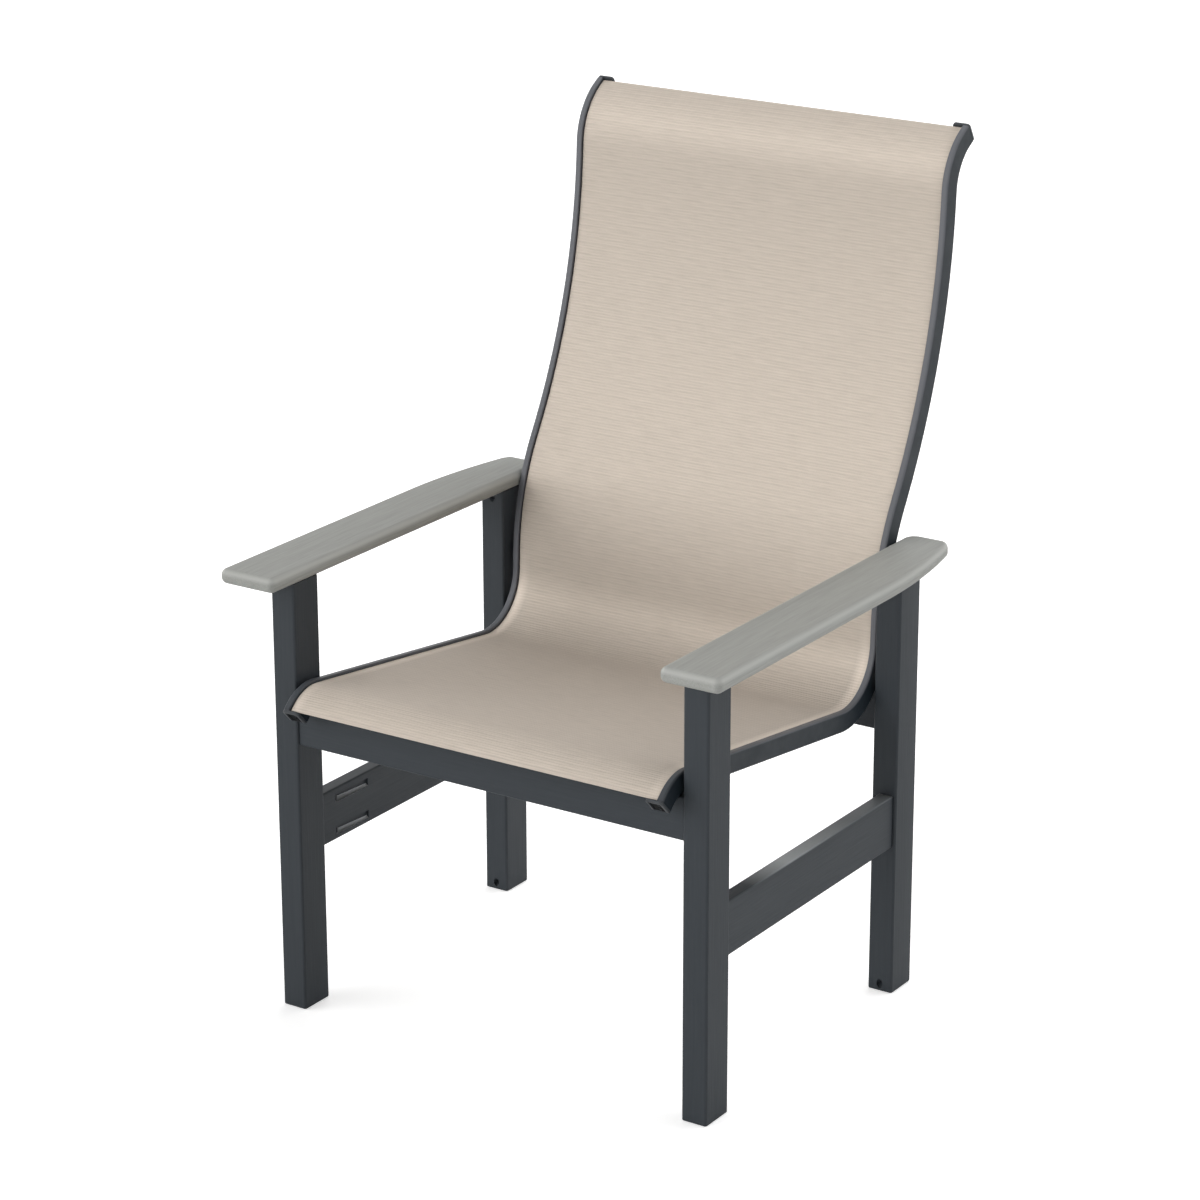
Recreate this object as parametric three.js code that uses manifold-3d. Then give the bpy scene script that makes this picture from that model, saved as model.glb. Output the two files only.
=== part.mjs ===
// A high-backed sling arm chair for a patio: four polymer legs joined by pocket-screwed boards,
// two polymer armrests, and a mesh sling held between two bent aluminium side rails.
// Lengths are in millimetres. X runs across the chair, the front faces -Y and +Z is up.
// Left and right are as someone standing in front of the chair sees them, left being -X.

import * as THREE from 'three';
import { mergeVertices } from 'three/addons/utils/BufferGeometryUtils.js';
import Module from 'manifold-3d';

const wasm = await Module();
wasm.setup();

// Chair
const frameWidth = 686;
const frameDepth = 538;
const armAboveSeat = 138;
const fit = 0.3;
const cutOverrun = 2;

// Legs
const legWidth = 38;
const legDepth = 54;
const legEdgeRadius = 3.5;
const legEndChamfer = 1.5;

// Boards between the legs, and the pockets that hold their screws
const boardThickness = 22;
const boardEdgeRadius = 2.5;
const stretcherHeight = 76;
const stretcherUnderside = 219;
const stretcherInset = 4.8;
const crossRailHeight = 59.5;
const crossRailInset = 3.5;
const rearCrossRailDrop = 106;
const pocketWidth = 11.4;
const pocketLength = 72.5;
const pocketDepth = 10;
const pocketSetback = 40.5;
const stretcherPockets = { fromTop: 15.5, fromUnderside: 12.7 };
const crossRailPockets = { fromTop: 16, fromUnderside: 21.5 };

// Armrests
const armThickness = 21.5;
const armEdgeRadius = 9.5;
const armInnerOverhang = 5.5;
const armOuterOverhang = 46.5;
const armFrontOverhang = 51;
const armRearOverhang = 43.5;
const armFrontCornerRadius = 10;
const armInnerRearCornerRadius = 20;
const armOuterRearCornerRadius = 11;
const armTaperLength = 212;
const armTaperDrop = 25.5;
const armTaperShare = 0.93;
const armEdgeSteps = 3;
const armCurveSteps = 2;

// Path of the sling, followed by the front faces of the side rails' outer lips
const seatFrontHeight = 480;
const crownSetback = 24.5;
const lowerBackSetback = 12.7;
const railEndStraight = 8;
const frontRadius = 68;
const frontAngle = THREE.MathUtils.degToRad(44);
const seatAngle = THREE.MathUtils.degToRad(-7.1);
const bendRadius = 74;
const lowerBackAngle = THREE.MathUtils.degToRad(88.3);
const lowerBackLength = 24;
const lumbarRadius = 342;
const lumbarAngle = THREE.MathUtils.degToRad(59);
const backRadius = 830;
const upperBackAngle = THREE.MathUtils.degToRad(86.8);
const upperBackLength = 18;
const headRadius = 98;
const headAngle = THREE.MathUtils.degToRad(30);
const frontSteps = 5;
const bendSteps = 10;
const lumbarSteps = 6;
const backSteps = 6;
const headSteps = 6;

// Section of the side rails
const railGap = 6;
const railWidth = 25.4;
const railDepth = 29;
const railWall = 2.5;
const railCornerRadius = 3;
const shoulderDrop = 5;
const slotInset = 10.5;
const slotWidth = 2.4;
const keyholeRadius = 4.5;
const keyholeDepth = 11.5;
const keyholeQuarters = 4;

// Sling and the rods in its side hems
const slingThickness = 1.4;
const slingEndGap = 1.5;
const hemClearance = 0.4;
const hemSides = 6;
const splineClearance = 0.35;

// End caps
const capThickness = 4;
const capFlange = 1.4;
const capCornerRadius = 6;
const capEdgeRadius = 1;
const capTongueLength = 7;
const capTongueClearance = 0.5;
const capHoleRadius = 2.2;
const capHoleDepth = 2.5;

// Spreader bars behind the back and under the seat
const spreaderThickness = 6.4;
const spreaderWidth = 25.4;
const spreaderBow = 18;
const spreaderPadLength = 22;
const spreaderEndInset = 4.5;
const spreaderCurveSteps = 8;
const backSpreaderShare = 0.5;
const seatSpreaderShare = 0.18;
const middleShare = 0.5;

// Fasteners: round heads with round shanks
const screwSides = 6;
const holeClearance = 0.45;
const tipTaper = 4;
const headRoundShare = 0.75;
const pocketScrew = { headRadius: 4.6, headHeight: 3, shankRadius: 2.1, length: 60 };
const armScrew = { headRadius: 4, headHeight: 2.8, shankRadius: 2.1, length: 27 };
const spreaderScrew = { headRadius: 4.6, headHeight: 2.8, shankRadius: 2.1, length: 14 };
const railBolt = { headRadius: 5.5, headHeight: 3.2, shankRadius: 3, length: 54 };
const spacerRadius = 6;

// Slanting screw holes near the ends of the legs
const toeHoleRadius = 4.7;
const toeHoleDepth = 6;
const toeHoleInset = 11;
const toeHoleSides = 10;
const toeAngle = THREE.MathUtils.degToRad(45);

// Foot glides
const glideRadius = 11;
const glideThickness = 4.5;
const glideProud = 1;
const glideChamfer = 0.8;
const glideStemRadius = 3;
const glideStemLength = 16;
const glideSides = 12;

// Places that follow from the values above
const armUnderside = seatFrontHeight + armAboveSeat;
const rearCrossRailUnderside = seatFrontHeight - rearCrossRailDrop;
const legInner = frameWidth / 2 - legWidth;
const legCentreX = frameWidth / 2 - legWidth / 2;
const legCentreY = frameDepth / 2 - legDepth / 2;
const stretcherX = frameWidth / 2 - stretcherInset - boardThickness / 2;
const railOuter = legInner - railGap;
const railInner = railOuter - railWidth;
const railCentre = railOuter - railWidth / 2;
const slotCentre = railOuter - slotInset;
const hollowFront = -keyholeDepth - keyholeRadius - railWall;
const hollowBack = railWall - railDepth;
const hollowMiddle = (hollowFront + hollowBack) / 2;
const slingUnderside = fit - shoulderDrop;
const slingFace = slingUnderside + slingThickness;
const hemRadius = keyholeRadius - hemClearance;
const hemBore = hemRadius - slingThickness;
const splineRadius = hemBore - splineClearance;
const legLength = armUnderside - fit - glideProud;

// Chords in a quarter turn: few where a corner is small, more where it shows
const cornerSteps = 1;
const roundSteps = 2;

const sides = [{ side: 'left', sideSign: -1 }, { side: 'right', sideSign: 1 }];
const ends = [{ end: 'front', endSign: -1 }, { end: 'rear', endSign: 1 }];

// Materials
function paint(color, roughness, metalness) {
  return new THREE.MeshStandardMaterial({ color, roughness, metalness });
}

const framePolymer = paint(0x43474b, 0.62, 0);
const armPolymer = paint(0x93938e, 0.6, 0);
const railPaint = paint(0x44494f, 0.45, 0.4);
const slingCloth = paint(0xc7bbaf, 0.85, 0);
const splinePlastic = paint(0xb9b4ab, 0.6, 0);
const capPlastic = paint(0x3a3e43, 0.6, 0);
const glideNylon = paint(0x2b2d30, 0.55, 0);
const coatedSteel = paint(0x55585c, 0.45, 1);

// Solids
function toSolid(geometry) {
  const bare = geometry.clone();
  bare.deleteAttribute('normal');
  bare.deleteAttribute('uv');
  const merged = mergeVertices(bare);
  const vertProperties = new Float32Array(merged.attributes.position.array);
  const triVerts = new Uint32Array(merged.index.array);
  return new wasm.Manifold(new wasm.Mesh({ numProp: 3, vertProperties, triVerts }));
}

function fromSolid(solid) {
  const mesh = solid.getMesh();
  const geometry = new THREE.BufferGeometry();
  geometry.setAttribute('position', new THREE.BufferAttribute(mesh.vertProperties, 3));
  geometry.setIndex(new THREE.BufferAttribute(mesh.triVerts, 1));
  geometry.computeVertexNormals();
  return geometry;
}

function cut(geometry, tools) {
  let solid = toSolid(geometry);
  for (const tool of tools) solid = solid.subtract(toSolid(tool));
  return fromSolid(solid);
}

function join(geometries) {
  let solid = toSolid(geometries[0]);
  for (const geometry of geometries.slice(1)) solid = solid.add(toSolid(geometry));
  return fromSolid(solid);
}

function piece(name, geometry, material, place = new THREE.Matrix4()) {
  const mesh = new THREE.Mesh(geometry, material);
  mesh.name = name;
  mesh.applyMatrix4(place);
  return mesh;
}

function at(x, y, z) {
  return new THREE.Matrix4().makeTranslation(x, y, z);
}

// A rectangle with round corners, its middle at the point given
function roundedRectangle(width, height, radius, x = 0, y = 0) {
  const halfWidth = width / 2;
  const halfHeight = height / 2;
  const shape = new THREE.Shape();
  shape.moveTo(x - halfWidth + radius, y - halfHeight);
  shape.absarc(x + halfWidth - radius, y - halfHeight + radius, radius, -Math.PI / 2, 0);
  shape.absarc(x + halfWidth - radius, y + halfHeight - radius, radius, 0, Math.PI / 2);
  shape.absarc(x - halfWidth + radius, y + halfHeight - radius, radius, Math.PI / 2, Math.PI);
  shape.absarc(x - halfWidth + radius, y - halfHeight + radius, radius, Math.PI, Math.PI * 1.5);
  return shape;
}

// A cylinder standing on the XY plane from one height to another
function rod(radius, from, to, sides) {
  const geometry = new THREE.CylinderGeometry(radius, radius, to - from, sides);
  return geometry.rotateX(Math.PI / 2).translate(0, 0, (from + to) / 2);
}

// Fasteners point down their own -Z: the head stands on the origin and the shank hangs below it
function fastenerGeometry({ headRadius, headHeight, shankRadius, length }) {
  const profile = [
    new THREE.Vector2(0, -length),
    new THREE.Vector2(shankRadius, tipTaper - length),
    new THREE.Vector2(shankRadius, 0),
    new THREE.Vector2(headRadius, 0),
    new THREE.Vector2(headRadius * headRoundShare, headHeight),
    new THREE.Vector2(0, headHeight),
  ];
  return new THREE.LatheGeometry(profile, screwSides).rotateX(Math.PI / 2);
}

function fastenerHole({ shankRadius, length }) {
  return rod(shankRadius + holeClearance, -length - holeClearance, fit + cutOverrun, screwSides);
}

// The place of a fastener whose head rests at the point and whose shank runs along the direction
function driven(point, direction) {
  const drive = direction.clone().normalize();
  const down = new THREE.Vector3(0, 0, -1);
  const turn = new THREE.Quaternion().setFromUnitVectors(down, drive);
  const seat = point.clone().addScaledVector(drive, -fit);
  return new THREE.Matrix4().compose(seat, turn, new THREE.Vector3(1, 1, 1));
}

// Cuts into a piece the holes of the fasteners that pass through it
function drill(geometry, place, fasteners) {
  const inverse = place.clone().invert();
  const tools = fasteners.map(({ kind, matrix }) =>
    fastenerHole(kind).applyMatrix4(inverse.clone().multiply(matrix)));
  return cut(geometry, tools);
}

function fastenerPieces(fasteners) {
  return fasteners.map(({ name, kind, matrix }) =>
    piece(name, fastenerGeometry(kind), coatedSteel, matrix));
}

// Path of the sling: stations with a place in the YZ plane, a heading and the distance run
function advance(station, distance) {
  return {
    y: station.y + distance * Math.cos(station.heading),
    z: station.z + distance * Math.sin(station.heading),
    heading: station.heading,
  };
}

function turnTo(stations, radius, heading, steps) {
  const start = stations[stations.length - 1];
  const side = Math.sign(heading - start.heading);
  const centreY = start.y - side * radius * Math.sin(start.heading);
  const centreZ = start.z + side * radius * Math.cos(start.heading);
  for (let step = 1; step <= steps; step += 1) {
    const now = THREE.MathUtils.lerp(start.heading, heading, step / steps);
    stations.push({
      y: centreY + side * radius * Math.sin(now),
      z: centreZ - side * radius * Math.cos(now),
      heading: now,
    });
  }
}

function runStraight(stations, distance) {
  stations.push(advance(stations[stations.length - 1], distance));
}

// The seat's straight runs from above the front legs to the bend in front of the rear legs
const crown = { y: crownSetback - frameDepth / 2, z: seatFrontHeight, heading: seatAngle };
const bendRun = bendRadius * (Math.sin(lowerBackAngle) - Math.sin(seatAngle));
const lowerBackY = frameDepth / 2 - legDepth + lowerBackSetback;
const seatLength = (lowerBackY - bendRun - crown.y) / Math.cos(seatAngle);

function slingStations() {
  const startY = crown.y - frontRadius * (Math.sin(frontAngle) - Math.sin(seatAngle));
  const startZ = crown.z - frontRadius * (Math.cos(seatAngle) - Math.cos(frontAngle));
  const lip = { y: startY, z: startZ, heading: frontAngle };
  const stations = [advance(lip, -railEndStraight), lip];
  turnTo(stations, frontRadius, seatAngle, frontSteps);
  runStraight(stations, seatLength);
  turnTo(stations, bendRadius, lowerBackAngle, bendSteps);
  runStraight(stations, lowerBackLength);
  turnTo(stations, lumbarRadius, lumbarAngle, lumbarSteps);
  turnTo(stations, backRadius, upperBackAngle, backSteps);
  runStraight(stations, upperBackLength);
  turnTo(stations, headRadius, headAngle, headSteps);
  runStraight(stations, railEndStraight);
  return stations;
}

const stations = slingStations();
const seatStart = stations[1 + frontSteps];
const seatEnd = stations[2 + frontSteps];
const lowerBackEnd = stations[3 + frontSteps + bendSteps];
const backStart = 3 + frontSteps + bendSteps + lumbarSteps;

// The point at a height above the path, on the sitter's side of it
function offsetPoint(station, height) {
  return {
    y: station.y - height * Math.sin(station.heading),
    z: station.z + height * Math.cos(station.heading),
  };
}

// Z of the line that runs beside the path at a height, where it first reaches the given Y
function offsetZ(height, y) {
  const line = stations.map((station) => offsetPoint(station, height));
  const after = line.findIndex((point) => point.y > y);
  const before = line[after - 1];
  const share = (y - before.y) / (line[after].y - before.y);
  return THREE.MathUtils.lerp(before.z, line[after].z, share);
}

// The middle of the chord between two stations, with the chord's heading
function between(first, second, share) {
  return {
    y: THREE.MathUtils.lerp(first.y, second.y, share),
    z: THREE.MathUtils.lerp(first.z, second.z, share),
    heading: Math.atan2(second.z - first.z, second.y - first.y),
  };
}

// Axes at a station: Y points to the sitter's side, and Z back down the path or, reversed, up it
function pathFrame(station, turn = 1) {
  const across = new THREE.Vector3(turn, 0, 0);
  const out = new THREE.Vector3(0, -Math.sin(station.heading), Math.cos(station.heading));
  const along = new THREE.Vector3().crossVectors(across, out);
  const frame = new THREE.Matrix4().makeBasis(across, out, along);
  return frame.setPosition(0, station.y, station.z);
}

// Sweeps a section along the path: its x runs across the chair, its y to the sitter's side
function sweep(section, route) {
  const steps = route.length - 1;
  const geometry = new THREE.ExtrudeGeometry(section, {
    depth: steps, steps, bevelEnabled: false, curveSegments: cornerSteps,
  });
  const position = geometry.attributes.position;
  for (let i = 0; i < position.count; i += 1) {
    const station = route[steps - Math.round(position.getZ(i))];
    const point = offsetPoint(station, position.getY(i));
    position.setXYZ(i, position.getX(i), point.y, point.z);
  }
  return geometry;
}

// The route without a short length at each end
function shortened(route, gap) {
  const last = route.length - 1;
  const middle = route.slice(1, last);
  return [advance(route[0], gap), ...middle, advance(route[last], -gap)];
}

// The same section for the other side of the chair
function mirrored(section, curveSteps) {
  const { shape, holes } = section.extractPoints(curveSteps);
  const flip = (points) => points.map((point) => new THREE.Vector2(-point.x, point.y));
  const result = new THREE.Shape(flip(shape));
  result.holes = holes.map((hole) => new THREE.Path(flip(hole)));
  return result;
}

function sectionFor(side, section, curveSteps) {
  return side === 'left' ? mirrored(section, curveSteps) : section;
}

// Boards: the length runs along Y, the height along Z, and the pockets are in the +X face
const pocketAngle = Math.atan2(pocketDepth, pocketLength);

function pocketHeights({ height, pockets }) {
  return {
    lower: pockets.fromUnderside - height / 2,
    upper: height / 2 - pockets.fromTop,
  };
}

function pocketTool(length, endSign, z) {
  const face = boardThickness / 2;
  const shoulder = endSign * (length / 2 - pocketSetback);
  const tip = endSign * (length / 2 - pocketSetback - pocketLength);
  const rise = pocketDepth + cutOverrun;
  const wedge = new THREE.Shape();
  wedge.moveTo(face - pocketDepth, shoulder);
  wedge.lineTo(face - pocketDepth + rise, shoulder + endSign * rise * Math.tan(pocketAngle));
  wedge.lineTo(face + cutOverrun, tip);
  wedge.lineTo(face, tip);
  const geometry = new THREE.ExtrudeGeometry(wedge, { depth: pocketWidth, bevelEnabled: false });
  return geometry.translate(0, 0, z - pocketWidth / 2);
}

function pocketScrewPlace(length, endSign, z) {
  const drive = new THREE.Vector3(-Math.sin(pocketAngle), endSign * Math.cos(pocketAngle), 0);
  const outward = new THREE.Vector3(Math.cos(pocketAngle), endSign * Math.sin(pocketAngle), 0);
  const shoulder = endSign * (length / 2 - pocketSetback);
  const point = new THREE.Vector3(boardThickness / 2 - pocketDepth, shoulder, z);
  return driven(point.addScaledVector(outward, pocketWidth / 2), drive);
}

function boardGeometry(board) {
  const { length, height } = board;
  const section = roundedRectangle(boardThickness, height, boardEdgeRadius);
  const geometry = new THREE.ExtrudeGeometry(section, {
    depth: length, bevelEnabled: false, curveSegments: cornerSteps,
  });
  geometry.translate(0, 0, -length / 2).rotateX(-Math.PI / 2);
  const tools = [-1, 1].flatMap((endSign) =>
    Object.values(pocketHeights(board)).map((z) => pocketTool(length, endSign, z)));
  return cut(geometry, tools);
}

const stretcherLength = frameDepth - 2 * legDepth - 2 * fit;
const crossRailLength = 2 * (legInner - fit);
const crossRailY = frameDepth / 2 - crossRailInset - boardThickness / 2;
const frontRailFaces = [-1, 1].map((face) => face * boardThickness / 2 - crossRailY);
const frontRailTop = Math.min(...frontRailFaces.map((y) => offsetZ(-railDepth, y))) - fit;

const boards = [
  {
    name: 'left_side_stretcher',
    length: stretcherLength,
    height: stretcherHeight,
    pockets: stretcherPockets,
    place: at(-stretcherX, 0, stretcherUnderside + stretcherHeight / 2),
    legs: { '-1': 'left_front_leg', 1: 'left_rear_leg' },
  },
  {
    name: 'right_side_stretcher',
    length: stretcherLength,
    height: stretcherHeight,
    pockets: stretcherPockets,
    place: at(stretcherX, 0, stretcherUnderside + stretcherHeight / 2)
      .multiply(new THREE.Matrix4().makeRotationZ(Math.PI)),
    legs: { '-1': 'right_rear_leg', 1: 'right_front_leg' },
  },
  {
    name: 'front_cross_rail',
    length: crossRailLength,
    height: crossRailHeight,
    pockets: crossRailPockets,
    place: at(0, -crossRailY, frontRailTop - crossRailHeight / 2)
      .multiply(new THREE.Matrix4().makeRotationZ(Math.PI / 2)),
    legs: { '-1': 'right_front_leg', 1: 'left_front_leg' },
  },
  {
    name: 'rear_cross_rail',
    length: crossRailLength,
    height: crossRailHeight,
    pockets: crossRailPockets,
    place: at(0, crossRailY, rearCrossRailUnderside + crossRailHeight / 2)
      .multiply(new THREE.Matrix4().makeRotationZ(-Math.PI / 2)),
    legs: { '-1': 'left_rear_leg', 1: 'right_rear_leg' },
  },
];

function pocketFasteners(board) {
  const { name, length, place, legs } = board;
  return [-1, 1].flatMap((endSign) =>
    Object.entries(pocketHeights(board)).map(([level, z]) => ({
      name: `${name}_to_${legs[endSign]}_${level}_screw`,
      kind: pocketScrew,
      matrix: place.clone().multiply(pocketScrewPlace(length, endSign, z)),
      through: [name, legs[endSign]],
    })));
}

// Legs stand on the origin of their own frame, and their slanting holes are in the face that
// looks to the middle of the chair
const legs = sides.flatMap(({ side, sideSign }) => ends.map(({ end, endSign }) => ({
  name: `${side}_${end}_leg`,
  side,
  sideSign,
  end,
  endSign,
  place: at(sideSign * legCentreX, endSign * legCentreY, glideProud),
})));

function toeHolePlace(endSign, upward) {
  const z = upward > 0 ? legLength - toeHoleInset : toeHoleInset;
  const drive = new THREE.Vector3(0, endSign * Math.cos(toeAngle), upward * Math.sin(toeAngle));
  const mouth = new THREE.Vector3(0, -endSign * legDepth / 2, z);
  return driven(mouth.addScaledVector(drive, toeHoleDepth), drive);
}

function toeHoleTool(endSign, upward) {
  const reach = toeHoleDepth + toeHoleRadius / Math.tan(toeAngle) + cutOverrun;
  const tool = rod(toeHoleRadius, -fit, reach, toeHoleSides);
  return tool.applyMatrix4(toeHolePlace(endSign, upward));
}

function armFastener({ name, side, endSign, place }) {
  return {
    name: `${name}_to_armrest_screw`,
    kind: armScrew,
    matrix: place.clone().multiply(toeHolePlace(endSign, 1)),
    through: [name, `${side}_armrest`],
  };
}

function glideTools() {
  const disc = rod(glideRadius + fit, -cutOverrun, glideThickness - glideProud + fit, glideSides);
  const stemTop = glideThickness + glideStemLength - glideProud + fit;
  return [disc, rod(glideStemRadius + holeClearance, -cutOverrun, stemTop, glideSides)];
}

function legGeometry(endSign) {
  const section = roundedRectangle(legWidth, legDepth, legEdgeRadius);
  const geometry = new THREE.ExtrudeGeometry(section, {
    depth: legLength - 2 * legEndChamfer,
    bevelEnabled: true,
    bevelThickness: legEndChamfer,
    bevelSize: legEndChamfer,
    bevelOffset: -legEndChamfer,
    bevelSegments: 1,
    curveSegments: cornerSteps,
  });
  geometry.translate(0, 0, legEndChamfer);
  const toes = [-1, 1].map((upward) => toeHoleTool(endSign, upward));
  return cut(geometry, [...glideTools(), ...toes]);
}

// Foot glides: a disc sunk in the leg's end with a stem pressed up its middle
function glideGeometry() {
  const profile = [
    new THREE.Vector2(0, 0),
    new THREE.Vector2(glideRadius - glideChamfer, 0),
    new THREE.Vector2(glideRadius, glideChamfer),
    new THREE.Vector2(glideRadius, glideThickness),
    new THREE.Vector2(glideStemRadius, glideThickness),
    new THREE.Vector2(glideStemRadius, glideThickness + glideStemLength),
    new THREE.Vector2(0, glideThickness + glideStemLength),
  ];
  return new THREE.LatheGeometry(profile, glideSides).rotateX(Math.PI / 2);
}

// Armrests: the right one's outline seen from above, its inner front corner at the origin
const armWidth = legWidth + armInnerOverhang + armOuterOverhang;
const armLength = frameDepth + armFrontOverhang + armRearOverhang;

function armOutline() {
  const taperRadius = (armTaperLength ** 2 + armTaperDrop ** 2) / (2 * armTaperDrop);
  const taperAngle = Math.atan2(armTaperLength, taperRadius - armTaperDrop);
  const endX = armWidth - armTaperDrop;
  const front = armFrontCornerRadius;
  const outer = armOuterRearCornerRadius;
  const inner = armInnerRearCornerRadius;
  const taperStart = armLength - armTaperLength;
  const shape = new THREE.Shape();
  shape.moveTo(front, 0);
  shape.absarc(armWidth - front, front, front, -Math.PI / 2, 0);
  shape.absarc(armWidth - taperRadius, taperStart, taperRadius, 0, taperAngle * armTaperShare);
  shape.absarc(endX - outer, armLength - outer, outer, taperAngle, Math.PI / 2);
  shape.absarc(inner, armLength - inner, inner, Math.PI / 2, Math.PI);
  shape.absarc(front, front, front, Math.PI, Math.PI * 1.5);
  return shape;
}

function armGeometry(side) {
  const geometry = new THREE.ExtrudeGeometry(sectionFor(side, armOutline(), armCurveSteps), {
    depth: armThickness - 2 * armEdgeRadius,
    bevelEnabled: true,
    bevelThickness: armEdgeRadius,
    bevelSize: armEdgeRadius,
    bevelOffset: -armEdgeRadius,
    bevelSegments: armEdgeSteps,
    curveSegments: armCurveSteps,
  });
  return geometry.translate(0, 0, armEdgeRadius);
}

// Side rails: an outer lip, a lower inner shoulder that the sling lies on, and between them a
// slot that opens into a round keyhole for the sling's hem, with a hollow behind
function railSection() {
  const back = -railDepth;
  const round = railCornerRadius;
  const slotHalf = slotWidth / 2;
  const slotAngle = Math.asin(slotHalf / keyholeRadius);
  const keyholeTurn = 2 * (Math.PI - slotAngle) / keyholeQuarters;
  const shape = new THREE.Shape();
  shape.moveTo(railInner + round, back);
  shape.absarc(railOuter - round, back + round, round, -Math.PI / 2, 0);
  shape.absarc(railOuter - round, -round, round, 0, Math.PI / 2);
  shape.lineTo(slotCentre + slotHalf, 0);
  for (let quarter = 0; quarter < keyholeQuarters; quarter += 1) {
    const from = Math.PI / 2 - slotAngle - quarter * keyholeTurn;
    shape.absarc(slotCentre, -keyholeDepth, keyholeRadius, from, from - keyholeTurn, true);
  }
  shape.lineTo(slotCentre - slotHalf, -shoulderDrop);
  shape.absarc(railInner + round, -shoulderDrop - round, round, Math.PI / 2, Math.PI);
  shape.absarc(railInner + round, back + round, round, Math.PI, Math.PI * 1.5);
  shape.holes.push(new THREE.Path([
    new THREE.Vector2(railInner + railWall, hollowBack),
    new THREE.Vector2(railInner + railWall, hollowFront),
    new THREE.Vector2(railOuter - railWall, hollowFront),
    new THREE.Vector2(railOuter - railWall, hollowBack),
  ]));
  return shape;
}

// The middles of the two spreader bars: on a chord of the back and on the seat's straight
const backSpreaderIndex = backStart + Math.floor(backSteps * backSpreaderShare);
const backChord = stations.slice(backSpreaderIndex, backSpreaderIndex + 2);
const spreaders = [
  {
    name: 'back_spreader_bar',
    place: pathFrame(between(backChord[0], backChord[1], middleShare)),
  },
  {
    name: 'seat_spreader_bar',
    place: pathFrame(between(seatStart, seatEnd, seatSpreaderShare)),
  },
];

// A flat bar lying on the rails' backs at both ends, bowed away from the sitter between them
function spreaderGeometry() {
  const padOuter = railOuter - spreaderEndInset;
  const padInner = padOuter - spreaderPadLength;
  const radius = (padInner ** 2 + spreaderBow ** 2) / (2 * spreaderBow);
  const face = -railDepth - fit;
  const front = [new THREE.Vector2(-padOuter, face)];
  for (let step = 0; step <= spreaderCurveSteps; step += 1) {
    const x = THREE.MathUtils.lerp(-padInner, padInner, step / spreaderCurveSteps);
    const bow = Math.sqrt(radius ** 2 - x ** 2) - (radius - spreaderBow);
    front.push(new THREE.Vector2(x, face - bow));
  }
  front.push(new THREE.Vector2(padOuter, face));
  const back = front.map((point) => new THREE.Vector2(point.x, point.y - spreaderThickness));
  const outline = new THREE.Shape([...front, ...back.reverse()]);
  const geometry = new THREE.ExtrudeGeometry(outline, {
    depth: spreaderWidth, bevelEnabled: false,
  });
  return geometry.translate(0, 0, -spreaderWidth / 2);
}

function spreaderFasteners({ name, place }) {
  return sides.map(({ side, sideSign }) => {
    const head = -railDepth - fit - spreaderThickness;
    const point = new THREE.Vector3(sideSign * railCentre, head, 0);
    return {
      name: `${name}_${side}_screw`,
      kind: spreaderScrew,
      matrix: place.clone().multiply(driven(point, new THREE.Vector3(0, 1, 0))),
      through: [name, `${side}_sling_rail`],
    };
  });
}

// Bolts hold each rail to a front and a rear leg, with a spacer in the gap between them
const boltPoints = {
  front: { y: -legCentreY, z: offsetZ(hollowMiddle, -legCentreY) },
  rear: offsetPoint(lowerBackEnd, hollowMiddle),
};

function boltFastener({ name, side, sideSign, end }) {
  const { y, z } = boltPoints[end];
  return {
    name: `${side}_rail_${end}_bolt`,
    kind: railBolt,
    matrix: driven(new THREE.Vector3(sideSign * railInner, y, z), new THREE.Vector3(sideSign, 0, 0)),
    through: [name, `${side}_sling_rail`],
  };
}

function spacerPiece({ side, sideSign, end }) {
  const { y, z } = boltPoints[end];
  const bore = railBolt.shankRadius + holeClearance;
  const length = railGap - 2 * fit;
  const ring = roundedRectangle(2 * spacerRadius, 2 * spacerRadius, spacerRadius);
  ring.holes.push(roundedRectangle(2 * bore, 2 * bore, bore));
  const geometry = new THREE.ExtrudeGeometry(ring, {
    depth: length, bevelEnabled: false, curveSegments: cornerSteps,
  });
  geometry.rotateY(Math.PI / 2).translate(-length / 2, 0, 0);
  const x = sideSign * (legInner - railGap / 2);
  return piece(`${side}_rail_${end}_spacer`, geometry, capPlastic, at(x, y, z));
}

// Sling: a sheet across both shoulders whose edges go down the slots to hems round the rods
function ringPoints(radius, x, y) {
  const points = [];
  for (let side = 0; side < hemSides; side += 1) {
    const angle = 2 * Math.PI * side / hemSides;
    points.push(new THREE.Vector2(x + radius * Math.cos(angle), y + radius * Math.sin(angle)));
  }
  return points;
}

function slingSection() {
  const neck = slingThickness / 2;
  const neckAngle = Math.asin(neck / hemRadius);
  const right = [new THREE.Vector2(slotCentre - neck, slingUnderside)];
  for (let side = 0; side <= hemSides; side += 1) {
    const turn = THREE.MathUtils.lerp(neckAngle, 2 * Math.PI - neckAngle, side / hemSides);
    const x = slotCentre - hemRadius * Math.sin(turn);
    right.push(new THREE.Vector2(x, hemRadius * Math.cos(turn) - keyholeDepth));
  }
  right.push(new THREE.Vector2(slotCentre + neck, slingUnderside));
  right.push(new THREE.Vector2(slotCentre - neck, slingFace));
  const left = right.map((point) => new THREE.Vector2(-point.x, point.y)).reverse();
  const section = new THREE.Shape([...right, ...left]);
  section.holes = [slotCentre, -slotCentre].map((x) =>
    new THREE.Path(ringPoints(hemBore, x, -keyholeDepth)));
  return section;
}

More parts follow.
